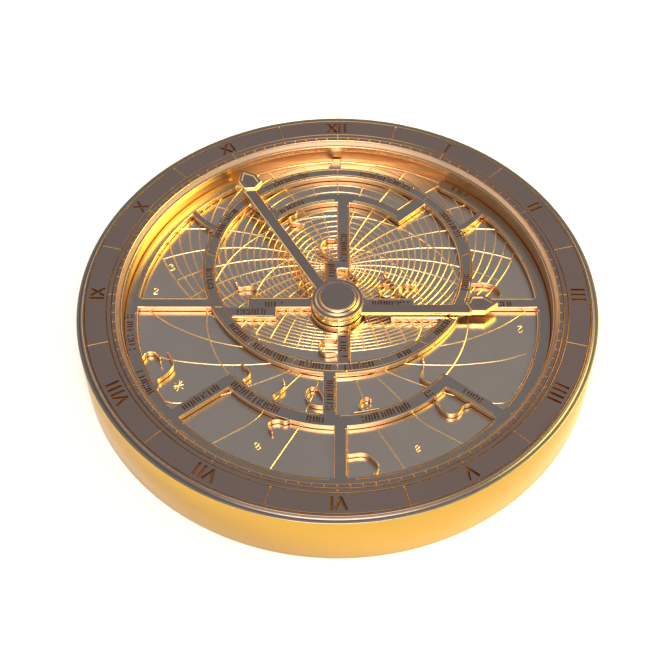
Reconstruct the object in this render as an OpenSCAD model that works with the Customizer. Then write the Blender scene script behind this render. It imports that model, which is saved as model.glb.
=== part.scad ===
// Drum-cased astrolabe clock: engraved plate, geared openwork star map, two hands
// and a spring-driven movement. Lies on its back, dial up. Origin: centre of the back.

/* [Case] */
// Overall diameter of the drum
case_d = 150; // [148:1:160]
// Overall thickness, back face to chapter ring
case_h = 19.2; // [19.2:0.1:22]
// Thickness of the drum wall
wall_t = 2.5; // [2:0.1:3]
// Number of rear cover screws
cover_screw_n = 6; // [4:1:8]

/* [Dial] */
// Inner radius of the flat chapter band
band_r0 = 63.75; // [63.5:0.05:64]
// Outer radius of the flat chapter band
band_r1 = 73.3; // [73:0.05:73.5]
// Depth of the engraving in the chapter ring
engrave = 0.3; // [0.1:0.05:0.5]
// Radius of the well that the star map turns in
well_r = 62.0; // [62:0.1:62.3]
// Latitude the plate is engraved for, degrees
latitude = 41.5; // [30:0.5:60]
// Radius of the equator circle on the plate
equator_r = 38.2; // [36:0.1:40]
// Width and height of an engraved rib
rib_w = 0.35; // [0.25:0.05:0.5]

/* [Star map] */
// Thickness of the star map
rete_t = 1.5; // [1:0.1:1.6]
// Outer radius of the ecliptic ring
ecl_r1 = 40.57; // [40:0.01:41]
// Inner radius of the ecliptic ring
ecl_r0 = 36.66; // [36:0.01:37]
// Offset of the ecliptic ring from the centre
ecl_y = 16.66; // [16:0.01:17]
// Width of the straight bars
bar_w = 3.6; // [3:0.1:4]

/* [Hands] */
// Length of the minute hand
minute_len = 60.4; // [50:0.1:61]
// Length of the hour hand
hour_len = 46.7; // [40:0.1:50]
// Width of a hand's blade
blade_w = 3.3; // [2.5:0.1:3.5]
// Direction of the minute hand at rest, degrees clockwise from XII
minute_at = 330; // [0:1:359]
// Direction of the hour hand at rest, degrees clockwise from XII
hour_at = 90; // [0:1:359]

/* [Movement] */
// Tooth counts: barrel and centre pinion
z_barrel = 80; // [80:1:80]
// Leaves of every train pinion
z_pin = 10; // [10:1:10]
// Teeth of every train wheel
z_wheel = 60; // [60:1:60]
// Teeth of the escape wheel
z_escape = 16; // [16:1:16]
// Running clearance on the radius of a shaft
run = 0.05; // [0.03:0.01:0.08]

/* [Hidden] */

$fn = 96;
R = case_d / 2;
top_z = case_h;
rim_r = 74.2;              // chapter ring seats inside the drum's thin rim
rim_z = top_z - 0.87;
ledge_r = 62.3;            // inner ledge below the inner cove
ledge_z = top_z - 1.38;
seat_z = top_z - 3.4;      // underside of the chapter ring
plate_z = top_z - 7.75;    // top of the engraved plate
plate_t = 1.05;
shelf_z1 = plate_z - plate_t;
shelf_z0 = shelf_z1 - 3.1;
rete_z1 = top_z - 5.8;
rete_z0 = rete_z1 - rete_t;
inner_r = R - wall_t;
lug_r = 69.5;

// levels of the movement
bp0 = 2.0; bp1 = 2.8;      // back plate
fp0 = 6.6; fp1 = 7.3;      // front plate

// plan positions
m_b = 0.6;  m_c = 0.5;  m_t = 0.45;  m_f = 0.4;
P_c = [0, 0];
a_b = -90;  d_b = m_b * (z_barrel + z_pin) / 2;
P_b = d_b * [cos(a_b), sin(a_b)];
a_3 = 90;   d_3 = m_c * (z_wheel + z_pin) / 2;
P_3 = d_3 * [cos(a_3), sin(a_3)];
a_4 = 20;   d_4 = m_t * (z_wheel + z_pin) / 2;
P_4 = P_3 + d_4 * [cos(a_4), sin(a_4)];
a_5 = 0;    d_5 = m_f * (z_wheel + z_pin) / 2;
P_5 = P_4 + d_5 * [cos(a_5), sin(a_5)];
a_e = -70;
P_p = P_5 + 10.2 * [cos(a_e), sin(a_e)];
P_s = P_p + 12.2 * [cos(a_e), sin(a_e)];

// motion work
z_can = 12; z_min = 36; z_mp = 10; z_hr = 40; z_rt = 80;
a_m = 180; d_m = 18;
P_m = d_m * [cos(a_m), sin(a_m)];
m_1 = 2 * d_m / (z_can + z_min);
m_2 = 2 * d_m / (z_mp + z_hr);
m_3 = 2 * d_m / (z_mp + z_rt);

// ---------- gear geometry ----------
pa = 20;
function deg_inv(a) = (tan(a) - a * PI / 180) * 180 / PI;
function half_w(z, m, r) =
  let(rb = m * z / 2 * cos(pa), hp = 90 / z * 0.80)
  hp + deg_inv(pa) - (r > rb ? deg_inv(acos(rb / r)) : 0);
function tooth(z, m) =
  let(rr = m * (z / 2 - 1.2), rp = m * z / 2, ra = m * (z / 2 + 0.8),
      rb = max(rr + 0.02, rp * cos(pa)), rs = z < 20 ? [rr, rb, rp, ra] : [rr, rp, ra])
  concat([for (r = rs) [r, -half_w(z, m, r)]],
         [for (k = [len(rs) - 1:-1:0]) [rs[k], half_w(z, m, rs[k])]]);
function gear_pts(z, m, off) =
  [for (i = [0:z - 1]) for (t = tooth(z, m))
    [t[0] * cos(t[1] + off + i * 360 / z), t[0] * sin(t[1] + off + i * 360 / z)]];
// offset of a mating gear's teeth, so that a tooth meets a gap on the centre line
function mesh(za, offa, zb, phi) = phi + 180 + ((phi - offa) * za / 360 - 0.5) * 360 / zb;

off_c = 0;
off_b = mesh(z_pin, off_c, z_barrel, a_b);
off_cw = 0;
off_3p = mesh(z_wheel, off_cw, z_pin, a_3);
off_4p = mesh(z_wheel, 0, z_pin, a_4);
off_5p = mesh(z_wheel, 0, z_pin, a_5);
off_m = mesh(z_can, 0, z_min, a_m);
off_hr = mesh(z_mp, 0, z_hr, a_m + 180);
off_rt = mesh(z_mp, 0, z_rt, a_m + 180);

module gear2(z, m, off) polygon(gear_pts(z, m, off));
module at(p, z) translate([p[0], p[1], z]) children();
module disc(r, h) cylinder(r = r, h = h);
module ring(r1, r0, h) difference() {
  cylinder(r = r1, h = h);
  translate([0, 0, -1]) cylinder(r = r0, h = h + 2);
}
// spoked wheel with an open web
module wheel(z, m, off, h, bore, spokes, hub) {
  rr = m * (z / 2 - 1.2) - 1.3;
  linear_extrude(h) difference() {
    gear2(z, m, off);
    difference() {
      circle(r = rr);
      circle(r = hub);
      for (i = [0:spokes - 1]) rotate(i * 360 / spokes)
        translate([0, -0.7]) square([rr + 1, 1.4]);
    }
    circle(r = bore);
  }
}
// cheese-head screw, head down (towards -Z), slot in the head
module screw_up(r, len, hr, hh) difference() {
  union() { disc(hr, hh); disc(r, len); }
  translate([-hr - 1, -0.25, -0.5]) cube([2 * hr + 2, 0.5, 0.5 + hh * 0.45]);
}

// ---------- case ----------
module cove_out() polygon(concat(
  [[62.3, seat_z], [rim_r, seat_z], [rim_r, rim_z]],
  [for (i = [1:5]) [rim_r - (rim_r - band_r1) * sin(i * 15), top_z - (top_z - rim_z) * cos(i * 15)]],
  [[band_r1, top_z], [band_r0, top_z]],
  [for (i = [1:5]) [ledge_r + 0.75 + (band_r0 - ledge_r - 0.75) * (1 - sin(i * 15)),
                    ledge_z + (top_z - ledge_z) * (1 - sin(i * 15))]],
  [[ledge_r + 0.75, ledge_z], [ledge_r, ledge_z]]));

module lugs(r) for (i = [0:cover_screw_n - 1]) rotate(i * 360 / cover_screw_n + 30)
  translate([lug_r, 0]) circle(r = r);
module case_body() color("goldenrod") rotate_extrude($fn = 180) polygon([
  [inner_r, 1], [73.45, 1], [73.45, 0], [R, 0], [R, rim_z], [rim_r + 0.02, rim_z],
  [rim_r + 0.02, seat_z], [inner_r, seat_z]]);
// shelf that carries the plate and the movement
module shelf_ring() color("goldenrod") difference() {
  translate([0, 0, shelf_z0]) ring(inner_r, 61.5, shelf_z1 - shelf_z0, $fn = 180);
  for (a = [0, 90, 180, 270]) rotate(a + 45) translate([63.9, 0, shelf_z0 - 1]) disc(0.9, 3);
  for (a = [0, 120, 240]) rotate(a) translate([68.5, 0, shelf_z0 - 1]) disc(1.0, 6);
}
// lugs below the shelf that the rear cover screws into
module cover_lugs() color("gold") translate([0, 0, 1]) linear_extrude(shelf_z0 - 1)
  difference() {
    intersection() { lugs(3.4); circle(r = inner_r, $fn = 180); }
    lugs(0.9);
  }

// Roman numerals built from bars; u across, v outwards from the band's middle
function strokes(s) = s == "I" ? [[0, 0]] : s == "V" ? [[-0.75, 14], [0.75, -14]]
  : [[0, 24], [0, -24]];
NUM = [["X","I","I"], ["I"], ["I","I"], ["I","I","I"], ["I","I","I","I"], ["V"], ["V","I"],
  ["V","I","I"], ["V","I","I","I"], ["I","X"], ["X"], ["X","I"]];
function adv(s) = s == "I" ? 1.15 : s == "V" ? 2.0 : 2.1;
function total(n, i = 0) = i < len(n) ? adv(n[i]) + total(n, i + 1) : 0;
function before(n, k, i = 0) = i < k ? adv(n[i]) + before(n, k, i + 1) : 0;
module numeral(n) for (k = [0:len(n) - 1]) {
  u = before(n, k) + adv(n[k]) / 2 - total(n) / 2;
  for (s = strokes(n[k])) translate([u + (n[k] == "V" ? s[0] / 1.35 : 0), 0])
    rotate(s[1]) square([0.62, 4.3], center = true);
}
module chapter_ring() color("dimgray") difference() {
  rotate_extrude($fn = 180) cove_out();
  for (r = [72.5, 66.3, 65.05]) translate([0, 0, top_z - 0.2]) ring(r + 0.2, r - 0.2, 1);
  for (k = [0:11]) rotate(-30 * k) {
    translate([0, 69.4, top_z - engrave]) linear_extrude(1) numeral(NUM[k]);
    rotate(-15) translate([-0.2, 66.3, top_z - 0.2]) cube([0.4, 6.2, 1]);
  }
  for (a = [0, 120, 240]) rotate(a) translate([68.5, 0, seat_z - 1]) disc(0.85, 2.6);
}
module well_ring() color("peru") rotate_extrude($fn = 180)
  polygon([[well_r, plate_z], [64.4, plate_z], [64.4, seat_z], [62.3, seat_z]]);
module chapter_posts() color("gold") for (a = [0, 120, 240]) rotate(a)
  translate([68.5, 0, shelf_z1]) ring(1.9, 1.0, seat_z - shelf_z1);
module chapter_screws() color("steelblue") for (a = [0, 120, 240]) rotate(a)
  translate([68.5, 0, shelf_z0 - 0.6]) difference() {
    union() { disc(1.6, 0.6); disc(0.85, seat_z + 1.4 - shelf_z0 + 0.6); }
    translate([-3, -0.25, -0.5]) cube([6, 0.5, 0.8]);
  }

// ---------- plate: circles of the stereographic projection ----------
cl = cos(latitude); sl = sin(latitude);
module line_ring(c, r, w = rib_w) translate([0, c]) difference() {
  circle(r = r + w / 2); circle(r = r - w / 2);
}
module almucantar(a) line_ring(equator_r * cl / (sl + sin(a)), equator_r * cos(a) / (sl + sin(a)));
module azimuth(b) { // circle through zenith and nadir
  zc = -equator_r * tan(latitude) + 0; rr = equator_r / cl;
  translate([rr * tan(b), zc]) difference() {
    circle(r = rr / cos(b) + rib_w / 2); circle(r = rr / cos(b) - rib_w / 2);
  }
}
hor_y = equator_r * cl / sl; hor_r = equator_r / sl;
module plate_lines() intersection() {
  circle(r = 57.4);
  union() {
    for (r = [equator_r, equator_r * tan(32.9)]) line_ring(0, r);
    intersection() {
      translate([0, hor_y]) circle(r = hor_r + rib_w / 2);
      union() {
        for (a = [0:10:80]) almucantar(a);
        for (b = [-60:20:60]) azimuth(b);
        translate([-rib_w / 2, -60]) square([rib_w, 120]);
      }
    }
    difference() {
      union() for (a = [15:30:165]) rotate(-a) translate([31, -rib_w / 2]) square([27, rib_w]);
      translate([0, hor_y]) circle(r = hor_r);
      circle(r = 30);
    }
  }
}
module tympan() color("gray") difference() {
  union() {
    translate([0, 0, shelf_z1]) disc(64.4, plate_t);
    translate([0, 0, plate_z - 0.01]) linear_extrude(0.13) plate_lines();
    translate([-2.5, 63, shelf_z1]) cube([5, 3.4, plate_t]);
  }
  translate([0, 0, shelf_z1 - 1]) disc(6, 4);
}
module dial_bush() color("gold") translate([0, 0, shelf_z1 - 0.2]) ring(6, 3.9 + run, plate_t + 0.35);

// ---------- star map ----------
// curled star pointer: a thin ribbon that follows a few points
function dirn(p, i) = let(a = p[max(i - 1, 0)], b = p[min(i + 1, len(p) - 1)], d = b - a) d / norm(d);
module ribbon(p, w = 0.75) polygon(concat(
  [for (i = [0:len(p) - 1]) p[i] + w / 2 * [-dirn(p, i)[1], dirn(p, i)[0]]],
  [for (i = [len(p) - 1:-1:0]) p[i] - w / 2 * [-dirn(p, i)[1], dirn(p, i)[0]]]));
module arc_band(c, r0, r1, a0, a1) translate([0, c]) intersection() {
  difference() { circle(r = r1); circle(r = r0); }
  polygon([[0, 0], for (i = [0:6]) 2.2 * r1 * [cos(a0 + (a1 - a0) * i / 6), sin(a0 + (a1 - a0) * i / 6)]]);
}
POINTERS = [
  [[-59, -17.2], [-56.5, -18], [-55.3, -18.4], [-53.5, -16.2], [-51.2, -17.3], [-50, -19.8]],
  [[-48, -17.7], [-46.4, -20.5], [-48.4, -24.1], [-50.4, -26.3], [-50.1, -28.6], [-50.8, -31]],
  [[-27.2, -20.7], [-25.2, -22], [-24.7, -24.1], [-26.5, -26.3], [-25.2, -28.6], [-24.8, -30.2]],
  [[-15.3, -25.6], [-14.8, -28.1], [-17.8, -31.3], [-15.3, -34.6], [-14.8, -36.4]],
  [[-2.8, -28.6], [-4.6, -30.1], [-7.3, -28.5], [-8.8, -31.2], [-7.7, -33.6], [-5.8, -34.7]],
  [[8.8, -32.3], [6.6, -33.4], [6.2, -35.4], [6.4, -38.4]],
  [[24, -18.1], [24.4, -20.8], [23.4, -24.3], [25.1, -26.5], [26.5, -28.2]],
  [[27.9, -30.6], [27.4, -32], [28.2, -35.1], [31.1, -37.6], [34, -36], [34.7, -33.6]],
  [[2.2, -50.4], [7.3, -50.4], [9.9, -52.4], [11, -54.8], [9.3, -57.2]],
  [[-12.6, -38.8], [-14.6, -39.9], [-17.5, -39.6], [-18.8, -41.1], [-17.8, -43.2]],
  [[39.6, 9.3], [44.4, 9.3], [48.1, 6.8], [47.7, 2.6]],
  [[-30, 9.7], [-29.2, 7.6], [-25.5, 8], [-23.7, 6.4], [-24.2, 2.6]],
  [[-13, 40.8], [-15, 38.2], [-15.1, 35.5], [-13.7, 33.7], [-10.4, 32.9]],
  [[0.6, 29], [-0.6, 27.2], [-2.8, 27], [-5.3, 23.6], [-3.7, 20.2], [0.4, 18.4]],
  [[3.3, 15.9], [4.9, 13.5], [3.9, 10.6], [6, 7.6], [6.4, 3.2]],
  [[-8, 3], [-9.5, 6.2], [-12, 7.4], [-12.6, 10.2]],
  [[13, 2.6], [11.9, 5.6], [14.3, 9], [17, 7.4], [16.4, 4.8]],
  [[22, 8.5], [19.2, 8.5], [18, 6], [18.6, 2.6]],
  [[-0, -8.4], [-3.5, -12.6], [-5.3, -14.8], [-2.8, -17.2], [1, -17.6]]];
module rim_2d() {
  difference() {
    circle(r = 61.7); circle(r = 58.2);
    polygon([[0, 0], for (i = [-3:3]) 90 * [sin(i * 34 / 3), cos(i * 34 / 3)]]);
  }
  for (s = [-1, 1]) translate([s * 59.95 * sin(34), 59.95 * cos(34)]) circle(r = 1.72);
}
module ecl_2d() translate([0, ecl_y]) difference() { circle(r = ecl_r1); circle(r = ecl_r0); }
module straps_2d() difference() {
  union() {
    translate([-1.2, 56.6]) square([2.4, 4.9]);
    // outer arms, counter-changed inner arms
    translate([-59, 0]) square([23, bar_w]);
    translate([36, 0]) square([23, bar_w]);
    polygon([[-34, -bar_w], [-17.8, -bar_w], [-17.8, 0], [-4, 0], [-4, bar_w],
      [-26.2, bar_w], [-26.2, 0], [-34, 0]]);
    polygon([[4, 0], [15.5, 0], [15.5, -bar_w - 0.3], [34, -bar_w - 0.3], [34, 0],
      [22.4, 0], [22.4, bar_w], [4, bar_w]]);
    polygon([[0, 4], [-bar_w, 4], [-bar_w, 18.2], [0, 18.2], [0, 43], [bar_w, 43],
      [bar_w, 15], [0, 15]]);
    translate([0, -22]) square([bar_w, 18]);
    translate([-bar_w - 0.3, -39]) square([bar_w, 16]);
    translate([-0.9, -59]) square([3.7, 18]);
    // arc bands
    arc_band(0, 37.9, 41.8, 270 - 51.5, 270 + 51.5);
    arc_band(ecl_y, 25.4, 29.1, 44, 136);
    for (s = [-1, 1]) {
      translate([0, ecl_y]) rotate(s > 0 ? 43 : 137) translate([25.4, s > 0 ? 0 : -bar_w]) square([12.4, bar_w]);
      mirror([s > 0 ? 1 : 0, 0]) rotate(-38.3) translate([39.5, -bar_w]) square([19.6, bar_w]);
      mirror([s > 0 ? 1 : 0, 0]) ribbon([[36.8, 31.2], [39.8, 32.8], [42.5, 35.2], [44.6, 38.6]], 2.2);
    }
    circle(r = 7.9);
  }
  circle(r = 3.9);
  rim_2d();
  ecl_2d();
}
module rete_rim() color("tan") translate([0, 0, rete_z0]) linear_extrude(rete_t) rim_2d();
module ecliptic_ring() color("tan") translate([0, 0, rete_z0]) linear_extrude(rete_t) ecl_2d();
module rete_straps() color("tan") translate([0, 0, rete_z0]) linear_extrude(rete_t) straps_2d();
module star_pointers() color("tan") for (p = POINTERS)
  translate([0, 0, rete_z0]) linear_extrude(rete_t) difference() {
    ribbon(p);
    rim_2d();
    ecl_2d();
    straps_2d();
  }
module rete_wheel() color("gold") {
  translate([0, 0, shelf_z1 - 1.1]) wheel(z_rt, m_3, off_rt, 0.7, 2.8 + run, 6, 6);
  translate([0, 0, shelf_z1 - 1.1]) ring(3.9, 2.8 + run, rete_z1 - shelf_z1 + 1.1 + 0.15);
}

// ---------- hands ----------
module head2(len, k) polygon([[len, 0], [len - 3.9, 3], [len - 7.8, 3.05], [len - 9.3, 0],
  [len - 7.8, -3.05], [len - 3.9, -3]] * 1);
module hand(len, side, z0) translate([0, 0, z0]) difference() {
  union() {
    linear_extrude(1.0) difference() {
      translate([0, side > 0 ? 0 : -blade_w]) square([len - 8.2, blade_w]);
      circle(r = 5);
    }
    linear_extrude(1.75) head2(len);
    disc(7.45, 1.0);
  }
  translate([len - 5.2, 0, 1.45]) linear_extrude(1) scale(0.72) translate([-len + 5.2, 0]) head2(len);
}
hh_z = rete_z1 + 0.45;
mh_z = hh_z + 2.05;
module hour_hand() color("dimgray") rotate(90 - hour_at) difference() {
  union() { hand(hour_len, -1, hh_z); translate([0, 0, hh_z]) disc(7.45, 1.75); }
  translate([0, 0, hh_z - 1]) disc(2.8, 5);
}
module hour_wheel() color("gold") {
  translate([0, 0, fp1 + 1.15]) wheel(z_hr, m_2, off_hr, 0.7, 1.8 + run, 5, 4.5);
  translate([0, 0, fp1 + 1.15]) ring(2.8, 1.8 + run, hh_z + 1.6 - fp1 - 1.15);
}
module minute_hand() color("dimgray") rotate(90 - minute_at) difference() {
  hand(minute_len, 1, mh_z);
  translate([0, 0, mh_z - 1]) disc(1.8, 5);
}
module hub_cap() color("dimgray") difference() {
  translate([0, 0, mh_z + 1.0]) union() {
    disc(7.46, 0.4); disc(6.45, 0.8); disc(5.5, 1.15); disc(4.93, 1.5);
  }
  translate([0, 0, mh_z - 1]) disc(1.0, 2.75);
}

// ---------- arbors and wheels of the centre ----------
module centre_arbor() color("silver") {
  translate([0, 0, 0.9]) disc(1.0, mh_z + 1.7 - 0.9);
  translate([0, 0, 3.85]) difference() {
    linear_extrude(1.5) gear2(z_pin, m_b, off_c);
    translate([0, 0, -1]) disc(0.99, 4);
  }
}
module centre_wheel() color("gold") translate([0, 0, 5.75]) wheel(z_wheel, m_c, off_cw, 0.45, 1.0, 5, 3);
module cannon_pinion() color("silver") {
  translate([0, 0, fp1 + 0.2]) linear_extrude(0.8) difference() {
    gear2(z_can, m_1, 0); circle(r = 1.0);
  }
  translate([0, 0, fp1 + 1.0]) ring(1.8, 1.0, mh_z + 0.95 - fp1 - 1.0);
}
module setting_knob() color("goldenrod") translate([0, 0, 0.3]) difference() {
  union() { disc(5.2, 1.0); translate([0, 0, 1.0]) disc(2, 0.5); }
  translate([0, 0, 0.6]) disc(1.0, 2);
  for (i = [0:11]) rotate(i * 30) translate([5.4, 0, -1]) disc(0.5, 3);
}
module minute_wheel() color("gold") at(P_m, 0) {
  translate([0, 0, fp1 + 0.2]) wheel(z_min, m_1, off_m, 0.75, 0.8 + run, 5, 3.4);
  translate([0, 0, fp1 + 0.95]) linear_extrude(1.0) difference() {
    gear2(z_mp, m_2, 0); circle(r = 0.8 + run);
  }
  translate([0, 0, fp1 + 1.95]) linear_extrude(0.9) difference() {
    gear2(z_mp, m_3, 0); circle(r = 0.8 + run);
  }
}
module minute_stud() color("silver") at(P_m, fp0) disc(0.8, shelf_z1 - 0.15 - fp0);

// ---------- movement frame ----------
PIL = [[38, 36], [-36, 36], [-36, -36], [36, -36]];
module pivots(z, r = 0.5) for (p = [P_3, P_4, P_5, P_p, P_s]) at(p, z) disc(r + run, 4);
module front_plate() color("khaki") difference() {
  translate([0, 0, fp0]) disc(66, fp1 - fp0);
  pivots(fp0 - 1);
  translate([0, 0, fp0 - 1]) disc(1.0 + run, 4);
  at(P_b, fp0 - 1) disc(1.5 + run, 4);
  at(P_m, fp0 - 1) disc(0.8, 4);
  for (p = PIL) at(p, fp0 - 1) disc(0.9, 4);
  for (a = [0, 90, 180, 270]) rotate(a + 45) translate([63.9, 0, fp0 - 1]) disc(0.9, 4);
}
module back_plate() color("khaki") difference() {
  translate([0, 0, bp0]) disc(57, bp1 - bp0);
  pivots(bp0 - 1);
  translate([0, 0, bp0 - 1]) disc(1.0 + run, 4);
  at(P_b, bp0 - 1) disc(2.2 + run, 4);
  at(click_at, bp0 - 1) disc(0.7, 4);
  for (p = PIL) at(p, bp0 - 1) disc(0.9, 4);
  at(P_s + [7.2, 0], bp0 - 1) disc(0.6, 4);
}
module pillars() color("gold") for (p = PIL) at(p, bp1) difference() {
  union() { disc(2.5, fp0 - bp1); }
  translate([0, 0, -1]) disc(0.9, 8);
}
module plate_screws() color("steelblue") for (p = PIL) {
  at(p, bp0 - 0.5) screw_up(0.9, 2.4, 1.7, 0.5);
  at(p, fp1 + 0.5) mirror([0, 0, 1]) screw_up(0.9, 2.4, 1.7, 0.5);
}
module case_screws() color("steelblue") for (a = [0, 90, 180, 270]) rotate(a + 45)
  translate([63.9, 0, fp0 - 0.6]) screw_up(0.9, 3.2, 1.8, 0.6);

// ---------- barrel and winding ----------
module barrel() color("gold") at(P_b, 0) difference() {
  union() {
    translate([0, 0, 3.05]) disc(23.2, 2.0);
    translate([0, 0, 3.95]) linear_extrude(0.95) gear2(z_barrel, m_b, off_b);
  }
  translate([0, 0, 3.4]) disc(21.8, 3);
  translate([0, 0, 2]) disc(2.2 + run, 3);
}
module barrel_lid() color("khaki") at(P_b, 5.05) ring(23.2, 2.2 + run, 0.35);
module mainspring() color("slategray") at(P_b, 3.5) linear_extrude(1.4) {
  for (k = [0:7]) translate([0, 0]) difference() {
    circle(r = 21.6 - k * 1.0 + 0.0); circle(r = 21.3 - k * 1.0);
  }
  translate([14.2, -0.2]) square([7.4, 0.4]);
}
module barrel_arbor() color("silver") at(P_b, 0) {
  translate([0, 0, 1.0]) disc(2.2, 4.6);
  translate([0, 0, 5.6]) disc(1.5, 1.6);
}
function saw(z, r1, r0, off) = [for (i = [0:z - 1]) for (k = [0:1])
  let(a = i * 360 / z + off + (k == 0 ? 0 : 1.2)) (k == 0 ? r0 : r1) * [cos(a), sin(a)]];
module ratchet_wheel() color("silver") at(P_b, 1.4) linear_extrude(0.45) difference() {
  polygon(saw(24, 11.2, 10.0, 0));
  circle(r = 2.2);
}
module winding_knob() color("goldenrod") at(P_b, 0.3) difference() {
  union() { disc(8, 0.75); translate([0, 0, 0.75]) disc(3.6, 0.35); }
  translate([0, 0, 0.7]) disc(2.2, 2);
  translate([-6, -0.9, -0.5]) cube([12, 1.8, 0.85]);
}
click_at = [P_b[0] + 16.5, P_b[1] + 6];
module click() color("silver") translate([0, 0, 1.4]) linear_extrude(0.45) difference() {
  union() {
    translate(click_at) circle(r = 1.8);
    polygon([click_at + [1.2, -1.2], click_at + [-1.4, 1.0], P_b + 11.3 * [cos(8.2), sin(8.2)], P_b + 11.75 * [cos(4.5), sin(4.5)]]);
  }
  translate(click_at) circle(r = 0.7 + run);
}
module click_screw() color("steelblue") at(click_at, 1.15) {
  disc(0.7, 1.6);
  disc(1.3, 0.2);
}

// ---------- train ----------
module arbor(p, rz0, rz1) at(p, 0) {
  translate([0, 0, bp0 + 0.05]) disc(0.5, fp1 - bp0 - 0.1);
}
module third_arbor() color("silver") at(P_3, 0) difference() {
  union() {
    translate([0, 0, bp0 + 0.05]) disc(0.5, fp1 - bp0 - 0.1);
    translate([0, 0, bp1 + 0.1]) disc(0.8, fp0 - bp1 - 0.2);
    translate([0, 0, 5.5]) linear_extrude(0.95) gear2(z_pin, m_c, off_3p);
  }
}
module third_wheel() color("gold") at(P_3, 3.2) wheel(z_wheel, m_t, 0, 0.45, 0.8, 5, 2.6);
module fourth_arbor() color("silver") at(P_4, 0) union() {
  translate([0, 0, bp0 + 0.05]) disc(0.5, fp1 - bp0 - 0.1);
  translate([0, 0, bp1 + 0.1]) disc(0.8, fp0 - bp1 - 0.2);
  translate([0, 0, 3.0]) linear_extrude(0.95) gear2(z_pin, m_t, off_4p);
}
module fourth_wheel() color("gold") at(P_4, 4.4) wheel(z_wheel, m_f, 0, 0.45, 0.8, 5, 2.4);
module escape_arbor() color("silver") at(P_5, 0) union() {
  translate([0, 0, bp0 + 0.05]) disc(0.5, fp1 - bp0 - 0.1);
  translate([0, 0, bp1 + 0.1]) disc(0.7, fp0 - bp1 - 0.2);
  translate([0, 0, 4.15]) linear_extrude(0.95) gear2(z_pin, m_f, off_5p);
}
module escape_wheel() color("gold") at(P_5, 5.4) linear_extrude(0.4) difference() {
  polygon([for (i = [0:z_escape - 1]) for (t = [[6.1, -7], [8.0, -1.0], [8.0, 1.2], [6.1, 0.5]])
    t[0] * [cos(i * 360 / z_escape + t[1]), sin(i * 360 / z_escape + t[1])]]);
  difference() {
    circle(r = 5.0); circle(r = 1.9);
    for (i = [0:3]) rotate(i * 90) translate([0, -0.5]) square([6, 1]);
  }
  circle(r = 0.7);
}
// lever: arms to the two stones, a fork towards the balance
module pallet_lever() color("silver") at(P_p, 0) rotate(a_e) {
  translate([0, 0, bp0 + 0.05]) disc(0.5, fp1 - bp0 - 0.1);
  translate([0, 0, 5.3]) linear_extrude(0.5) {
    circle(r = 1.3);
    translate([0, -0.5]) square([9.2, 1]);
    translate([8.8, -1.3]) square([1.2, 0.8]);
    translate([8.8, 0.5]) square([1.2, 0.8]);
    for (s = [-1, 1]) polygon([[0.8, s * 0.9], [-0.8, s * 0.9], [-3.4, s * 5.7], [-2.2, s * 6.7]]);
  }
}
module pallet_stones() color("crimson") at(P_p, 5.32) rotate(a_e) linear_extrude(0.46)
  for (s = [-1, 1]) translate([-3.3, s * 6.5]) rotate(s * -20) translate([-0.8, -0.45]) square([1.4, 0.9]);
module balance_staff() color("silver") at(P_s, 0) union() {
  translate([0, 0, bp0 + 0.05]) disc(0.5, fp1 - bp0 - 0.1);
  translate([0, 0, bp1 + 0.1]) disc(0.9, fp0 - bp1 - 0.2);
  translate([0, 0, 5.3]) disc(1.5, 0.5);
}
module balance_wheel() color("gold") at(P_s, 4.2) difference() {
  union() {
    ring(10.6, 9.2, 0.8);
    linear_extrude(0.5) difference() {
      union() { circle(r = 2); for (i = [0:2]) rotate(i * 120 + 20) translate([0, -0.6]) square([9.6, 1.2]); }
    }
  }
  translate([0, 0, -1]) disc(0.9, 4);
}
module hairspring() color("steelblue") at(P_s, 3.35) linear_extrude(0.3) union() {
  for (k = [0:5]) difference() { circle(r = 6.6 - k * 0.95); circle(r = 6.4 - k * 0.95); }
  translate([1.7, -0.1]) square([5.0, 0.2]);
}
module hairspring_stud() color("silver") at(P_s + [7.2, 0], bp0 + 0.05) {
  disc(0.6, 1.3);
}

// ---------- back ----------
module rear_cover() color("goldenrod") difference() {
  disc(73.43, 1.0);
  translate([0, 0, -1]) disc(6.2, 3);
  at(P_b, -1) disc(9, 3);
  for (i = [0:cover_screw_n - 1]) rotate(i * 360 / cover_screw_n + 30)
    translate([lug_r, 0, -1]) { disc(0.95, 3); }
  for (i = [0:cover_screw_n - 1]) rotate(i * 360 / cover_screw_n + 30)
    translate([lug_r, 0, -1]) disc(2.05, 1.55);
}
module cover_screws() color("steelblue") for (i = [0:cover_screw_n - 1])
  rotate(i * 360 / cover_screw_n + 30) translate([lug_r, 0, 0.05]) screw_up(0.9, 4.5, 1.95, 0.5);

case_body();
shelf_ring();
cover_lugs();
chapter_ring();
well_ring();
tympan();
dial_bush();
chapter_posts();
chapter_screws();
rete_rim();
ecliptic_ring();
rete_straps();
star_pointers();
rete_wheel();
hour_hand();
hour_wheel();
minute_hand();
hub_cap();
centre_arbor();
centre_wheel();
cannon_pinion();
setting_knob();
minute_wheel();
minute_stud();
front_plate();
back_plate();
pillars();
plate_screws();
case_screws();
barrel();
barrel_lid();
mainspring();
barrel_arbor();
ratchet_wheel();
winding_knob();
click();
click_screw();
third_arbor();
third_wheel();
fourth_arbor();
fourth_wheel();
escape_arbor();
escape_wheel();
pallet_lever();
pallet_stones();
balance_staff();
balance_wheel();
hairspring();
hairspring_stud();
rear_cover();
cover_screws();
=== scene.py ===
"""Looks of the astrolabe clock. Lengths in the helpers are millimetres; U is the dial's outer flat radius."""
import math
import random

import bpy
import numpy as np
from mathutils import Matrix, Vector
from mathutils.geometry import delaunay_2d_cdt


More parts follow.
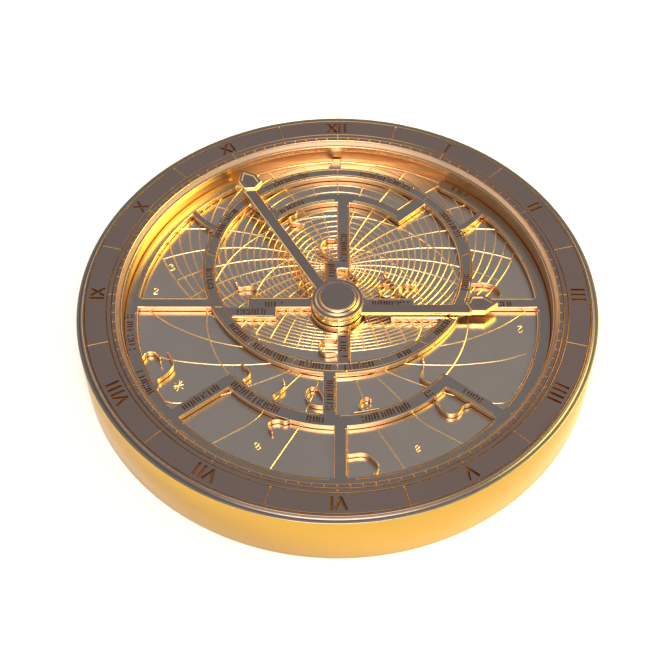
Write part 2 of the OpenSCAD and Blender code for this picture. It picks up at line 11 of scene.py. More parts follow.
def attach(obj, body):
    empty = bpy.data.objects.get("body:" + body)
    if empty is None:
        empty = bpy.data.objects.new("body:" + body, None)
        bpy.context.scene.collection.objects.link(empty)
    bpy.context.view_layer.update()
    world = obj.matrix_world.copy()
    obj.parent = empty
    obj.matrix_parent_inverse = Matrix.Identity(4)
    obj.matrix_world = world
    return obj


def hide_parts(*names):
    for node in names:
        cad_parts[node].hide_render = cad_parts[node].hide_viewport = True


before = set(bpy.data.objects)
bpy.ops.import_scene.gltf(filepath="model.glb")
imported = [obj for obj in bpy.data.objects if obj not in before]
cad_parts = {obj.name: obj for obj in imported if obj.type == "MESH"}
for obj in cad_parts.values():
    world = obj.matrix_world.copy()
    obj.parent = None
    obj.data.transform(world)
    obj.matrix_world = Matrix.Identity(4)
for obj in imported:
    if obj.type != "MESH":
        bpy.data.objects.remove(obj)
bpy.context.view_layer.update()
random.seed(7)
rng = np.random.default_rng(7)
U = 72.44
TOP = 19.2
PLATE = 11.45
RETE1, RETE0 = 13.4, 11.735
TAU = 2 * math.pi
col = bpy.context.scene.collection


# ------------------------------------------------------------------ materials
def lin(h):
    """'#rrggbb' to linear rgb."""
    v = [int(h[i:i + 2], 16) / 255 for i in (1, 3, 5)]
    return [x / 12.92 if x <= 0.04045 else ((x + 0.055) / 1.055) ** 2.4 for x in v]


def metal(name, base, rough, var=0.05, rvar=0.05, grain=900.0, bump=0.04, mottle=60.0, warm=None, brushed=None,
          coat=0.0, aniso=0.0, metallic=1.0):
    """Metal with a mottled tone, uneven gloss and a fine surface grain. brushed: 'z' for turned lines round the axis."""
    m = bpy.data.materials.new(name)
    m.use_nodes = True
    nt = m.node_tree
    n, l = nt.nodes, nt.links
    n.clear()
    out = n.new("ShaderNodeOutputMaterial")
    b = n.new("ShaderNodeBsdfPrincipled")
    l.new(b.outputs[0], out.inputs[0])
    b.inputs["Metallic"].default_value = metallic
    if coat:
        b.inputs["Coat Weight"].default_value = coat
        b.inputs["Coat Roughness"].default_value = 0.12
    if aniso:
        b.inputs["Anisotropic"].default_value = aniso
    tc = n.new("ShaderNodeTexCoord")
    big = n.new("ShaderNodeTexNoise")
    big.inputs["Scale"].default_value = mottle
    big.inputs["Detail"].default_value = 5
    big.inputs["Roughness"].default_value = 0.6
    l.new(tc.outputs["Object"], big.inputs["Vector"])
    base = lin(base) if isinstance(base, str) else list(base)
    warm = lin(warm) if isinstance(warm, str) else (warm or [min(1, c * (1 + 1.6 * var) + 0.004) for c in base])
    cool = [c * (1 - 1.6 * var) for c in base]
    ramp = n.new("ShaderNodeValToRGB")
    ramp.color_ramp.elements[0].position = 0.3
    ramp.color_ramp.elements[0].color = (*cool, 1)
    ramp.color_ramp.elements[1].position = 0.72
    ramp.color_ramp.elements[1].color = (*warm, 1)
    e = ramp.color_ramp.elements.new(0.5)
    e.color = (*base, 1)
    l.new(big.outputs["Fac"], ramp.inputs[0])
    l.new(ramp.outputs[0], b.inputs["Base Color"])
    fine = n.new("ShaderNodeTexNoise")
    fine.inputs["Scale"].default_value = grain
    fine.inputs["Detail"].default_value = 3
    if brushed:
        mp = n.new("ShaderNodeMapping")
        mp.inputs["Scale"].default_value = {"z": (0.15, 0.15, 6), "x": (0.08, 3, 1), "y": (3, 0.08, 1)}[brushed]
        l.new(tc.outputs["Object"], mp.inputs[0])
        l.new(mp.outputs[0], fine.inputs["Vector"])
    else:
        l.new(tc.outputs["Object"], fine.inputs["Vector"])
    mr = n.new("ShaderNodeMapRange")
    mr.inputs["From Min"].default_value = 0.3
    mr.inputs["From Max"].default_value = 0.7
    mr.inputs["To Min"].default_value = max(0.02, rough - rvar)
    mr.inputs["To Max"].default_value = rough + rvar
    mix = n.new("ShaderNodeMath")
    mix.operation = "MULTIPLY_ADD"
    mix.inputs[1].default_value = 0.5
    half = n.new("ShaderNodeMath")
    half.operation = "MULTIPLY"
    half.inputs[1].default_value = 0.5
    l.new(fine.outputs["Fac"], half.inputs[0])
    l.new(big.outputs["Fac"], mix.inputs[0])
    l.new(half.outputs[0], mix.inputs[2])
    l.new(mix.outputs[0], mr.inputs["Value"])
    l.new(mr.outputs[0], b.inputs["Roughness"])
    bp = n.new("ShaderNodeBump")
    bp.inputs["Strength"].default_value = bump
    bp.inputs["Distance"].default_value = 0.00005
    l.new(fine.outputs["Fac"], bp.inputs["Height"])
    l.new(bp.outputs[0], b.inputs["Normal"])
    return m


M = {
    # Flat top of the gilt chapter ring in grey-brown: painted reflection of a dark overhead on the gold, not the
    # metal's own colour.
    "chapter": metal("chapter_flat_painted_reflection", (0.445, 0.312, 0.262), 0.19, var=0.02, rvar=0.02, bump=0.004, mottle=45),
    # Outer cove of the gilt ring in dark bronze-grey: painted shade on the gold.
    "cove": metal("cove_painted_shade", (0.24, 0.185, 0.165), 0.30, var=0.03, rvar=0.03, bump=0.006, mottle=45),
    # Top rim of the gold drum in grey-bronze: painted shade on the gold.
    "rim": metal("rim_painted_shade", (0.42, 0.34, 0.29), 0.30, var=0.03, rvar=0.03, bump=0.006, mottle=45),
    # Circle grooves of the chapter ring in dark bronze: painted shade in the grooves of the gold.
    "seam": metal("groove_painted_shade", (0.52, 0.32, 0.135), 0.25, var=0.06, rvar=0.05, bump=0.006, mottle=150),
    "edge": metal("edge_gold", (0.84, 0.53, 0.28), 0.24, var=0.03, rvar=0.04, bump=0.006),
    "line": metal("gilt_line", (0.86, 0.56, 0.24), 0.20, var=0.05, rvar=0.05, bump=0.006),
    # Floors of engraved numerals and letters in dark brown: painted shade in the recesses of the gold.
    "cut": metal("engraving_painted_shade", (0.32, 0.165, 0.065), 0.33, var=0.12, rvar=0.06, mottle=300, bump=0.02),
    # Flat of the gilt plate in pinkish grey: painted reflection of a dark overhead on the gold.
    "plate": metal("plate_flat_painted_reflection", (0.60, 0.503, 0.443), 0.25, var=0.02, rvar=0.02, bump=0.004, mottle=45),
    "rib": metal("plate_gilt", (0.94, 0.66, 0.36), 0.20, var=0.05, rvar=0.05, mottle=200, bump=0.006),
    # Flat tops of the gilt star map in grey-brown: painted reflection of a dark overhead on the gold.
    "rete": metal("rete_flat_painted_reflection", (0.43, 0.36, 0.32), 0.22, var=0.02, rvar=0.02, bump=0.004, mottle=45),
    "side": metal("cut_side_copper", (0.60, 0.35, 0.175), 0.30, var=0.06, rvar=0.05, mottle=120, bump=0.008),
    "hedge": metal("hand_edge", (0.96, 0.66, 0.28), 0.20, var=0.04, rvar=0.04, bump=0.006),
    # Flat tops of the gilt hands and hub cap in grey-brown: painted reflection of a dark overhead on the gold.
    "hand": metal("hand_flat_painted_reflection", (0.43, 0.325, 0.29), 0.19, var=0.02, rvar=0.02, bump=0.004, mottle=45),
    "drum": metal("drum_flat", (0.51, 0.305, 0.078), 0.30, var=0.02, rvar=0.03, grain=300, bump=0.003, mottle=30),
    "well": metal("well_flat", (0.68, 0.385, 0.17), 0.30, var=0.02, rvar=0.03, grain=400, bump=0.003, mottle=30),
    # Inner wall, cove and ledge of the chapter ring in greyed bronze: painted shade on the gold.
    "ledge": metal("ledge_painted_shade", (0.70, 0.48, 0.32), 0.30, var=0.02, rvar=0.03, grain=400, bump=0.004, mottle=30),
}


# ------------------------------------------------------------------ signed distances, in mm
class Shape:
    """A union of simple shapes: vectorised signed distance, negative inside."""

    def __init__(self):
        self.parts = []

    def add(self, f, box):
        self.parts.append((f, box))
        return self

    def ring(self, cx, cy, r0, r1):
        rm, hw = (r0 + r1) / 2, (r1 - r0) / 2
        return self.add(lambda x, y: np.abs(np.hypot(x - cx, y - cy) - rm) - hw, (cx - r1, cy - r1, cx + r1, cy + r1))

    def disc(self, cx, cy, r):
        return self.add(lambda x, y: np.hypot(x - cx, y - cy) - r, (cx - r, cy - r, cx + r, cy + r))

    def arc(self, cx, cy, r, hw, a0, a1):
        """Round-ended arc from a0 to a1 degrees, anticlockwise."""
        e = [(cx + r * math.cos(math.radians(a)), cy + r * math.sin(math.radians(a))) for a in (a0, a1)]

        def f(x, y):
            t = (np.degrees(np.arctan2(y - cy, x - cx)) - a0) % 360
            on = np.abs(np.hypot(x - cx, y - cy) - r)
            ends = np.minimum(np.hypot(x - e[0][0], y - e[0][1]), np.hypot(x - e[1][0], y - e[1][1]))
            return np.where(t <= (a1 - a0), on, ends) - hw
        q = r + hw
        return self.add(f, (cx - q, cy - q, cx + q, cy + q))

    def band(self, cx, cy, r0, r1, a0, a1):
        """Square-ended band from a0 to a1 degrees."""
        rm, hw, am, ha = (r0 + r1) / 2, (r1 - r0) / 2, math.radians((a0 + a1) / 2), math.radians((a1 - a0) / 2)

        def f(x, y):
            t = np.arctan2(y - cy, x - cx) - am
            t = np.abs((t + math.pi) % TAU - math.pi)
            r = np.hypot(x - cx, y - cy)
            return np.maximum(np.abs(r - rm) - hw, (t - ha) * r)
        return self.add(f, (cx - r1, cy - r1, cx + r1, cy + r1))

    def poly(self, pts):
        p = np.asarray(pts, float)

        def f(x, y):
            d = np.full(np.shape(x), 1e18)
            s = np.ones(np.shape(x))
            for (ax, ay), (bx, by) in zip(p, np.roll(p, -1, 0)):
                ex, ey = bx - ax, by - ay
                wx, wy = x - ax, y - ay
                t = np.clip((wx * ex + wy * ey) / (ex * ex + ey * ey), 0, 1)
                d = np.minimum(d, (wx - ex * t) ** 2 + (wy - ey * t) ** 2)
                c = (ay <= y) & (by > y) & (ex * wy > ey * wx) | (ay > y) & (by <= y) & (ex * wy < ey * wx)
                s = np.where(c, -s, s)
            return s * np.sqrt(d)
        return self.add(f, (*p.min(0), *p.max(0)))

    def bar(self, x0, x1, y0, y1):
        return self.poly([(x0, y0), (x1, y0), (x1, y1), (x0, y1)])

    def ribbon(self, pts, w, w1=None):
        """Round-ended ribbon along a polyline; the width may taper to w1."""
        p = np.asarray(pts, float)
        n = len(p) - 1
        ws = np.linspace(w, w if w1 is None else w1, n + 1)

        def f(x, y):
            d = np.full(np.shape(x), 1e9)
            for i in range(n):
                (ax, ay), (bx, by) = p[i], p[i + 1]
                ex, ey = bx - ax, by - ay
                t = np.clip(((x - ax) * ex + (y - ay) * ey) / (ex * ex + ey * ey + 1e-12), 0, 1)
                d = np.minimum(d, np.hypot(x - ax - ex * t, y - ay - ey * t) - (ws[i] + (ws[i + 1] - ws[i]) * t) / 2)
            return d
        m = max(w, w1 or w) / 2
        return self.add(f, (*(p.min(0) - m), *(p.max(0) + m)))

    def __call__(self, x, y):
        d = np.full(np.shape(x), 1e9)
        for f, _ in self.parts:
            d = np.minimum(d, f(x, y))
        return d

    def grid(self, h, holes=None, margin=1.0):
        bx = np.array([b for _, b in self.parts])
        x0, y0 = bx[:, 0].min() - margin, bx[:, 1].min() - margin
        nx = int((bx[:, 2].max() + margin - x0) / h) + 2
        ny = int((bx[:, 3].max() + margin - y0) / h) + 2
        xs, ys = x0 + h * np.arange(nx), y0 + h * np.arange(ny)
        F = np.full((ny, nx), 9.0)
        for f, b in self.parts:
            i0, i1 = max(0, int((b[0] - margin - x0) / h)), min(nx, int((b[2] + margin - x0) / h) + 2)
            j0, j1 = max(0, int((b[1] - margin - y0) / h)), min(ny, int((b[3] + margin - y0) / h) + 2)
            X, Y = np.meshgrid(xs[i0:i1], ys[j0:j1])
            F[j0:j1, i0:i1] = np.minimum(F[j0:j1, i0:i1], f(X, Y))
        return F, x0, y0


class Cut:
    """Shape a with shape b taken out."""

    def __init__(self, a, b):
        self.a, self.b = a, b

    def __call__(self, x, y):
        return np.maximum(self.a(x, y), -self.b(x, y))

    def grid(self, h):
        F, x0, y0 = self.a.grid(h)
        ny, nx = F.shape
        X, Y = np.meshgrid(x0 + h * np.arange(nx), y0 + h * np.arange(ny))
        return np.maximum(F, -self.b(X, Y)), x0, y0


SEG = {1: [(3, 0)], 2: [(0, 1)], 3: [(3, 1)], 4: [(1, 2)], 6: [(0, 2)], 7: [(3, 2)], 8: [(2, 3)], 9: [(2, 0)],
       11: [(2, 1)], 12: [(1, 3)], 13: [(1, 0)], 14: [(0, 3)], 5: [(3, 0), (1, 2)], 10: [(0, 1), (2, 3)]}


def contours(shape, level, h, grid=None):
    """Closed loops of shape == level, inside on the left, with the points moved exactly onto the level."""
    F, x0, y0 = grid if grid is not None else shape.grid(h)
    G = F - level
    G = np.where(np.abs(G) < 1e-9, 1e-9, G)
    ny, nx = G.shape
    S = (G < 0).astype(int)
    case = S[:-1, :-1] + 2 * S[:-1, 1:] + 4 * S[1:, 1:] + 8 * S[1:, :-1]
    nxt = {}
    N = nx * ny
    for c, segs in SEG.items():
        j, i = np.nonzero(case == c)
        if not len(j):
            continue
        ids = [j * nx + i, N + j * nx + i + 1, (j + 1) * nx + i, N + j * nx + i]
        for a, b in segs:
            for s, e in zip(ids[a].tolist(), ids[b].tolist()):
                nxt[s] = e
    loops = []
    while nxt:
        s = next(iter(nxt))
        loop = [s]
        e = nxt.pop(s)
        while e != s and e in nxt:
            loop.append(e)
            e = nxt.pop(e)
        loops.append(np.array(loop))
    out = []
    for loop in loops:
        if len(loop) < 4:
            continue
        v = loop >= N
        k = np.where(v, loop - N, loop)
        j, i = k // nx, k % nx
        a = G[j, i]
        b = np.where(v, G[np.minimum(j + 1, ny - 1), i], G[j, np.minimum(i + 1, nx - 1)])
        t = a / (a - b)
        x = x0 + h * (i + np.where(v, 0, t))
        y = y0 + h * (j + np.where(v, t, 0))
        for _ in range(3):
            e = 0.004
            f = shape(x, y) - level
            gx = (shape(x + e, y) - shape(x - e, y)) / (2 * e)
            gy = (shape(x, y + e) - shape(x, y - e)) / (2 * e)
            g = np.maximum(gx * gx + gy * gy, 0.3)
            x = x - np.clip(f * gx / g, -h / 2, h / 2)
            y = y - np.clip(f * gy / g, -h / 2, h / 2)
        p = simplify(np.stack([x, y], 1), 0.0018)
        if len(p) > 3:
            out.append(p)
    return out


def simplify(p, tol, rounds=7):
    """Drops points that lie nearly on the line between their neighbours, and points closer than 4 microns."""
    keep = np.hypot(*(p - np.roll(p, 1, 0)).T) > 0.004
    p = p[keep]
    for k in range(rounds):
        n = len(p)
        if n < 8:
            break
        a, b = np.roll(p, 1, 0), np.roll(p, -1, 0)
        d = b - a
        L = np.hypot(*d.T) + 1e-12
        dev = np.abs(d[:, 0] * (p - a)[:, 1] - d[:, 1] * (p - a)[:, 0]) / L
        drop = (dev < tol) & (L < 6.0)
        drop[(k % 2)::2] = False
        if n % 2 and k % 2 == 0:
            drop[-1] = False
        p = p[~drop]
    return p


def circle(r, n, cx=0.0, cy=0.0, off=0.0):
    t = off + TAU * np.arange(n) / n
    return np.stack([cx + r * np.cos(t), cy + r * np.sin(t)], 1)


def inset(p, d):
    """A simple anticlockwise polygon moved inward by d."""
    p = np.asarray(p, float)
    a = p - np.roll(p, 1, 0)
    b = np.roll(p, -1, 0) - p
    na = np.stack([-a[:, 1], a[:, 0]], 1) / np.hypot(*a.T)[:, None]
    nb = np.stack([-b[:, 1], b[:, 0]], 1) / np.hypot(*b.T)[:, None]
    m = na + nb
    return p + m * (d / (0.5 * (m * m).sum(1)))[:, None]


def smooth_path(pts, step=0.35):
    """Catmull-Rom curve through points."""
    p = np.asarray(pts, float)
    p = np.vstack([2 * p[0] - p[1], p, 2 * p[-1] - p[-2]])
    out = []
    for i in range(1, len(p) - 2):
        n = max(2, int(np.hypot(*(p[i + 1] - p[i])) / step))
        for k in range(n):
            t = k / n
            out.append(0.5 * (2 * p[i] + (p[i + 1] - p[i - 1]) * t + (2 * p[i - 1] - 5 * p[i] + 4 * p[i + 1] - p[i + 2]) * t * t
                              + (3 * p[i] - p[i - 1] - 3 * p[i + 1] + p[i + 2]) * t ** 3))
    out.append(p[-2])
    return np.array(out)


# ------------------------------------------------------------------ meshes
class Build:
    """Collects vertices and faces, in mm, with a material index for each face."""

    def __init__(self):
        self.v, self.f, self.m, self.n = [], [], [], 0

    def add(self, v, f, m):
        v = np.asarray(v, float)
        self.v.append(v)
        k = self.n
        self.f += [tuple(i + k for i in q) for q in f]
        self.m += [m] * len(f) if isinstance(m, int) else list(m)
        self.n += len(v)

    def done(self, name, mats, body, replaces=(), angle=24):
        v = np.vstack(self.v) * 0.001
        me = bpy.data.meshes.new(name)
        me.from_pydata(v.tolist(), [], self.f)
        me.validate(verbose=False)
        for m in mats:
            me.materials.append(m)
        if len(me.polygons) == len(self.m):
            me.polygons.foreach_set("material_index", np.array(self.m, np.int32))
        me.shade_smooth()
        me.set_sharp_from_angle(angle=math.radians(angle))
        me.update()
        o = bpy.data.objects.new(name, me)
        col.objects.link(o)
        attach(o, body)
        if replaces:
            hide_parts(*replaces)
        return o


def lathe(B, prof, mats, n=360, closed=True):
    """Revolves a profile of (r, z) about Z; mats gives the material of the face after each point."""
    p = np.asarray(prof, float)
    k = len(p)
    t = TAU * np.arange(n) / n
    v, idx = [], []
    for r, z in p:
        if r < 1e-6:
            idx.append([len(v)] * n)
            v.append((0, 0, z))
        else:
            idx.append(list(range(len(v), len(v) + n)))
            v += list(zip(r * np.cos(t), r * np.sin(t), np.full(n, z)))
    f, m = [], []
    for i in range(k if closed else k - 1):
        a, b = idx[i], idx[(i + 1) % k]
        for j in range(n):
            q = [a[j], b[j], b[(j + 1) % n], a[(j + 1) % n]]
            q = [x for c, x in enumerate(q) if x not in q[:c]]
            if len(q) > 2:
                f.append(q)
                m.append(mats if isinstance(mats, int) else mats[i])
    B.add(v, f, m)


def slab(B, loops, inside, z_default, z_bottom, mats, tagmat):
    """A solid whose top follows the given loops. loops: (points, z, tag, closed); z may be a number or one per point.
    A top face takes the material of its highest tag; walls and bottom take mats."""
    P, Z, T, E = [], [], [], []
    for pts, z, tag, closed in loops:
        k, n = len(P), len(pts)
        P += [Vector((float(x), float(y))) for x, y in pts]
        Z += [float(z)] * n if np.isscalar(z) else [float(q) for q in z]
        T += [tag] * n
        E += [(k + i, k + i + 1) for i in range(n - 1)]
        if closed:
            E.append((k + n - 1, k))
    vs, _, fs, ov, _, _ = delaunay_2d_cdt(P, E, [], 0, 1e-5, True)
    xy = np.array([(q[0], q[1]) for q in vs])
    z = np.full(len(vs), float(z_default))
    tag = np.zeros(len(vs), int)
    for i, src in enumerate(ov):
        if len(src):
            j = min(src, key=lambda q: Z[q])
            z[i], tag[i] = Z[j], T[j]
    F = np.array([f for f in fs if len(f) == 3])
    a, b, c = xy[F[:, 0]], xy[F[:, 1]], xy[F[:, 2]]
    area = (b[:, 0] - a[:, 0]) * (c[:, 1] - a[:, 1]) - (b[:, 1] - a[:, 1]) * (c[:, 0] - a[:, 0])
    F[area < 0] = F[area < 0][:, ::-1]
    F = F[np.abs(area) > 1e-9]
    g = xy[F].mean(1)
    F = F[inside(g[:, 0], g[:, 1])]
    used = np.unique(F)
    new = np.full(len(xy), -1)
    new[used] = np.arange(len(used))
    F = new[F]
    xy, z, tag = xy[used], z[used], tag[used]
    n = len(xy)
    de = np.vstack([F[:, [0, 1]], F[:, [1, 2]], F[:, [2, 0]]])
    key = de[:, 0].astype(np.int64) * n + de[:, 1]
    rev = de[:, 1].astype(np.int64) * n + de[:, 0]
    edge = de[~np.isin(key, rev)]
    top = np.column_stack([xy, z])
    bot = np.column_stack([xy, np.full(n, z_bottom)])
    ft = tag[F].max(1)
    B.add(np.vstack([top, bot]),
          F.tolist() + (F[:, ::-1] + n).tolist() + [(a, a + n, b + n, b) for a, b in edge.tolist()],
          [tagmat[t] for t in ft.tolist()] + [mats[1]] * len(F) + [mats[0]] * len(edge))


def groove(p, w, z, depth, tag, closed=False):
    """Loops for a V groove along a polyline: an outline at height z and a centre line below it."""
    p = np.asarray(p, float)
    if closed:
        d = np.roll(p, -1, 0) - np.roll(p, 1, 0)
    else:
        d = np.vstack([p[1] - p[0], p[2:] - p[:-2], p[-1] - p[-2]]) if len(p) > 2 else np.vstack([p[1] - p[0]] * 2)
    d /= np.hypot(*d.T)[:, None]
    nrm = np.stack([-d[:, 1], d[:, 0]], 1) * w / 2
    if closed:
        return [(p + nrm, z, 0, True), (p - nrm, z, 0, True), (p, z - depth, tag, True)]
    mid = p.copy()
    mid[0] += d[0] * w / 2
    mid[-1] -= d[-1] * w / 2
    return [(np.vstack([p - nrm, (p + nrm)[::-1]]), z, 0, True), (mid, z - depth, tag, False)]


def rib(B, pts, z0, w, h, mat, closed=False, n=6):
    """A half-round bar along a polyline, lying on height z0."""
    p = np.asarray(pts, float)
    k = len(p)
    if closed:
        d = np.roll(p, -1, 0) - np.roll(p, 1, 0)
    else:
        d = np.vstack([p[1] - p[0], p[2:] - p[:-2], p[-1] - p[-2]]) if k > 2 else np.vstack([p[1] - p[0]] * 2)
    d /= np.hypot(*d.T)[:, None] + 1e-12
    nr = np.stack([-d[:, 1], d[:, 0]], 1)
    th = np.linspace(0, math.pi, n + 1)
    v = np.zeros((k, n + 1, 3))
    v[:, :, :2] = p[:, None, :] + nr[:, None, :] * (w / 2 * np.cos(th))[None, :, None]
    v[:, :, 2] = z0 + h * np.sin(th)[None, :]
    v[:, 0, 2] = v[:, n, 2] = z0 - 0.03
    m = n + 1
    f = []
    for i in range(k if closed else k - 1):
        j = (i + 1) % k
        for a in range(m):
            b = (a + 1) % m
            f.append((i * m + a, j * m + a, j * m + b, i * m + b))
    f = [q[::-1] for q in f]
    if not closed:
        f.append(tuple(range(m)))
        f.append(tuple((k - 1) * m + a for a in range(m))[::-1])
    B.add(v.reshape(-1, 3), f, mat)


def runs(p, ok):
    """The stretches of a polyline whose points are ok."""
    out, cur = [], []
    for q, k in zip(p, ok):
        if k:
            cur.append(q)
        elif len(cur) > 1:
            out.append(np.array(cur))
            cur = []
        else:
            cur = []
    if len(cur) > 1:
        out.append(np.array(cur))
    return out


def minims(place, length, height, z, tag, seed, gap=0.84, width=0.42, depth=0.36):
    """A row of small engraved strokes, grouped at random, that stands in for an inscription. place(s, t) -> point."""
    r = random.Random(seed)
    loops = []
    s = gap * 0.6
    while s < length - gap * 0.4:
        kind = r.random()
        base, lean = -height / 2, r.uniform(-0.04, 0.07) * height
        spans = [(base, base + height * r.choice([1, 1, 1, 1.25]))]
        if kind > 0.84:
            spans = [(base, base + height * 0.30), (base + height * 0.66, base + height)]
        elif kind > 0.74:
            spans = [(base - height * 0.2, base + height)]
        w = width * r.uniform(0.85, 1.15)
        for b0, b1 in spans:
            o = [(-w / 2, b0 + w * 0.35), (0.15 * w, b0 - w * 0.25), (w / 2 + 0.1 * w, b0 + w * 0.35),
                 (w / 2 + lean, b1 - w * 0.3), (-0.1 * w + lean, b1 + w * 0.3), (-w / 2 - 0.1 * w + lean, b1 - w * 0.3)]
            i = inset(o, w * 0.28)
            loops.append((np.array([place(s + a, b) for a, b in o]), z, 0, True))
            loops.append((np.array([place(s + a, b) for a, b in i]), z - depth, tag, True))
        s += gap * r.choice([0.92, 1.0, 1.0, 1.08, 1.5])
    return loops


def on_arc(cx, cy, r, a0, turn):
    """Text frame on an arc: s mm along from a0 degrees, t outward; turn -1 reads clockwise with feet inward, 1 anticlockwise with feet outward."""
    def f(s, t):
        a = math.radians(a0) + turn * s / r
        q = r + (t if turn < 0 else -t)
        return (cx + q * math.cos(a), cy + q * math.sin(a))
    return f


def on_line(x, y, ang):
    c, s_ = math.cos(math.radians(ang)), math.sin(math.radians(ang))
    return lambda s, t: (x + s * c - t * s_, y + s * s_ + t * c)


# ------------------------------------------------------------------ chapter ring
NC = 720
B = Build()
L = []
for r, z, tag in [(73.33, TOP - 0.09, 1), (73.24, TOP, 0), (63.83, TOP, 0), (63.74, TOP - 0.09, 1)]:
    L.append((circle(r, NC), z, tag, True))
# The three circle grooves take tag 6, the dark painted-shade groove colour.
for r in (1.0022 * U, 0.9166 * U, 0.8978 * U):
    L += groove(circle(r, NC), 0.36, TOP, 0.27, 6, True)


def pol(r, deg):
    """Point at radius r, deg clockwise from XII."""
    return (r * math.sin(math.radians(deg)), r * math.cos(math.radians(deg)))


for k in range(120):
    a = 3 * k
    L += groove([pol(63.98, a), pol(64.78, a)], 0.27, TOP, 0.24, 2)
    if k % 10 == 0:
        L += groove([pol(65.36, a), pol(66.10, a)], 0.30, TOP, 0.26, 2)
for k in range(12):
    a = 15 + 30 * k
    L += groove([pol(66.62, a), pol(72.37, a)], 0.32, TOP, 0.26, 2)
NUMERALS = ["XII", "I", "II", "III", "IIII", "V", "VI", "VII", "VIII", "IX", "X", "XI"]
GAP = 1.82
for k, txt in enumerate(NUMERALS):
    adv = {"I": GAP * 0.5, "V": GAP * 0.80, "X": GAP * 0.78}
    pos, u = [], 0.0
    for i, c in enumerate(txt):
        u += adv[c] if i else 0
        pos.append(u)
        u += adv[c]
    mid = (pos[0] - adv[txt[0]] + pos[-1] + adv[txt[-1]]) / 2
    for c, u0 in zip(txt, pos):
        g = Shape()
        w, hgt = 0.82, 2.15
        if c == "I":
            g.ribbon([(0, -hgt + w / 2), (0, hgt - w / 2)], w)
        elif c == "V":
            g.ribbon([(-1.35, hgt - w / 2), (0, -hgt + w / 2)], w).ribbon([(1.35, hgt - w / 2), (0, -hgt + w / 2)], w * 0.9)
        else:
            g.ribbon([(-1.22, hgt - w / 2), (1.22, -hgt + w / 2)], w).ribbon([(1.22, hgt - w / 2), (-1.22, -hgt + w / 2)], w * 0.9)
        G = g.grid(0.07, margin=0.4)
        th = math.radians(-30 * k)
        # The numeral floors take tag 3, the dark painted-shade engraving colour.
        for level, z, tag in ((0, TOP, 0), (-0.16, TOP - 0.5, 3)):
            for p in contours(g, level, 0.07, G):
                x, y = p[:, 0] + u0 - mid, p[:, 1] + 0.9582 * U
                L.append((np.stack([x * math.cos(th) - y * math.sin(th), x * math.sin(th) + y * math.cos(th)], 1), z, tag, True))
slab(B, L, lambda x, y: (np.hypot(x, y) > 63.735) & (np.hypot(x, y) < 73.335), TOP, 15.8, (1, 1), {0: 0, 1: 1, 2: 2, 3: 3, 6: 6})
# The outer cove faces take material 4, the dark painted-shade cove colour.
lathe(B, [(73.2, 15.8), (74.2, 15.8), (74.2, 18.33)] + [(74.2 - 0.87 * math.sin(math.radians(t)), TOP - 0.09 - 0.78 * math.cos(math.radians(t))) for t in (10, 20, 30, 40, 50, 60, 70, 80)]
      + [(73.33, TOP - 0.09), (73.2, TOP - 0.15)], 4, n=NC)
# The inner wall, cove and ledge take material 5, a greyed painted-shade copy of the gold; the two small ledge grooves
# take 6, the painted-shade groove colour.
lathe(B, [(63.9, 15.8), (63.9, TOP - 0.15), (63.74, TOP - 0.09), (63.66, TOP - 0.40)] + [(63.05 + 0.61 * (1 - math.sin(math.radians(t))), 17.84 + 0.96 * (1 - math.cos(math.radians(90 - t)))) for t in (12, 25, 38, 51, 64, 77)]
      + [(63.04, 17.83), (62.72, 17.82), (62.66, 17.70), (62.60, 17.82), (62.42, 17.82), (62.3, 17.70), (62.3, 15.8)],
      [5, 1, 5, 5, 5, 5, 5, 5, 5, 5, 5, 1, 6, 6, 1, 1, 1, 5], n=NC)
B.done("chapter_ring_v", [M["chapter"], M["edge"], M["line"], M["cut"], M["cove"], M["ledge"], M["seam"]], "case", ["chapter_ring"])

# ------------------------------------------------------------------ drum, well wall
B = Build()
# The drum's top rim and its small bevels take material 1, a grey-bronze painted shade on the gold drum.
lathe(B, [(72.5, 1.0), (73.45, 1.0), (73.45, 0.12), (73.57, 0), (74.7, 0), (74.92, 0.1), (75, 0.35), (75, 18.22), (74.95, 18.30),
          (74.86, 18.33), (74.24, 18.33), (74.22, 18.25), (74.22, 15.8), (72.5, 15.8)][::-1],
      [0, 0, 1, 1, 1, 0, 0, 0, 0, 0, 0, 0, 0, 0], n=NC)
B.done("drum_v", [M["drum"], M["rim"]], "case", ["case_body"], angle=40)
B = Build()
lathe(B, [(62.0, PLATE), (62.02, 11.9), (62.10, 11.98), (62.04, 12.08), (62.06, 12.9), (62.28, 15.62), (62.30, 15.8), (64.4, 15.8), (64.4, PLATE)],
      0, n=NC)
B.done("well_wall_v", [M["well"]], "case", ["well_ring"], angle=40)

# ------------------------------------------------------------------ plate with the sky's circles
B = Build()
lathe(B, [(6.0, 10.4), (64.4, 10.4), (64.4, PLATE), (6.0, PLATE)], [1, 1, 0, 1], n=NC)
B.done("plate_v", [M["plate"], M["edge"]], "case", ["tympan"])
PHI, EQ = math.radians(42.0), 0.5285 * U
SP, CP = math.sin(PHI), math.cos(PHI)
HY, HR = EQ * CP / SP, EQ / SP
RC = 61.6
B = Build()
W, H = 0.52, 0.235


def lay(p, ok, w=W, h=H, z=PLATE):
    for s in runs(p, ok):
        rib(B, s, z, w, h, 0)


def round_line(cx, cy, r, ok, w=W, h=H, z=PLATE):
    n = max(64, int(TAU * r / min(1.2, math.sqrt(8 * r * 0.01))))
    p = circle(r, n, cx, cy, 0.5 * math.pi / n)
    m = ok(p[:, 0], p[:, 1])
    if m.all():
        rib(B, p, z, w, h, 0, closed=True)
        return
    k = int(np.argmin(m))
    p, m = np.roll(p, -k, 0), np.roll(m, -k)
    lay(p, m, w, h, z)


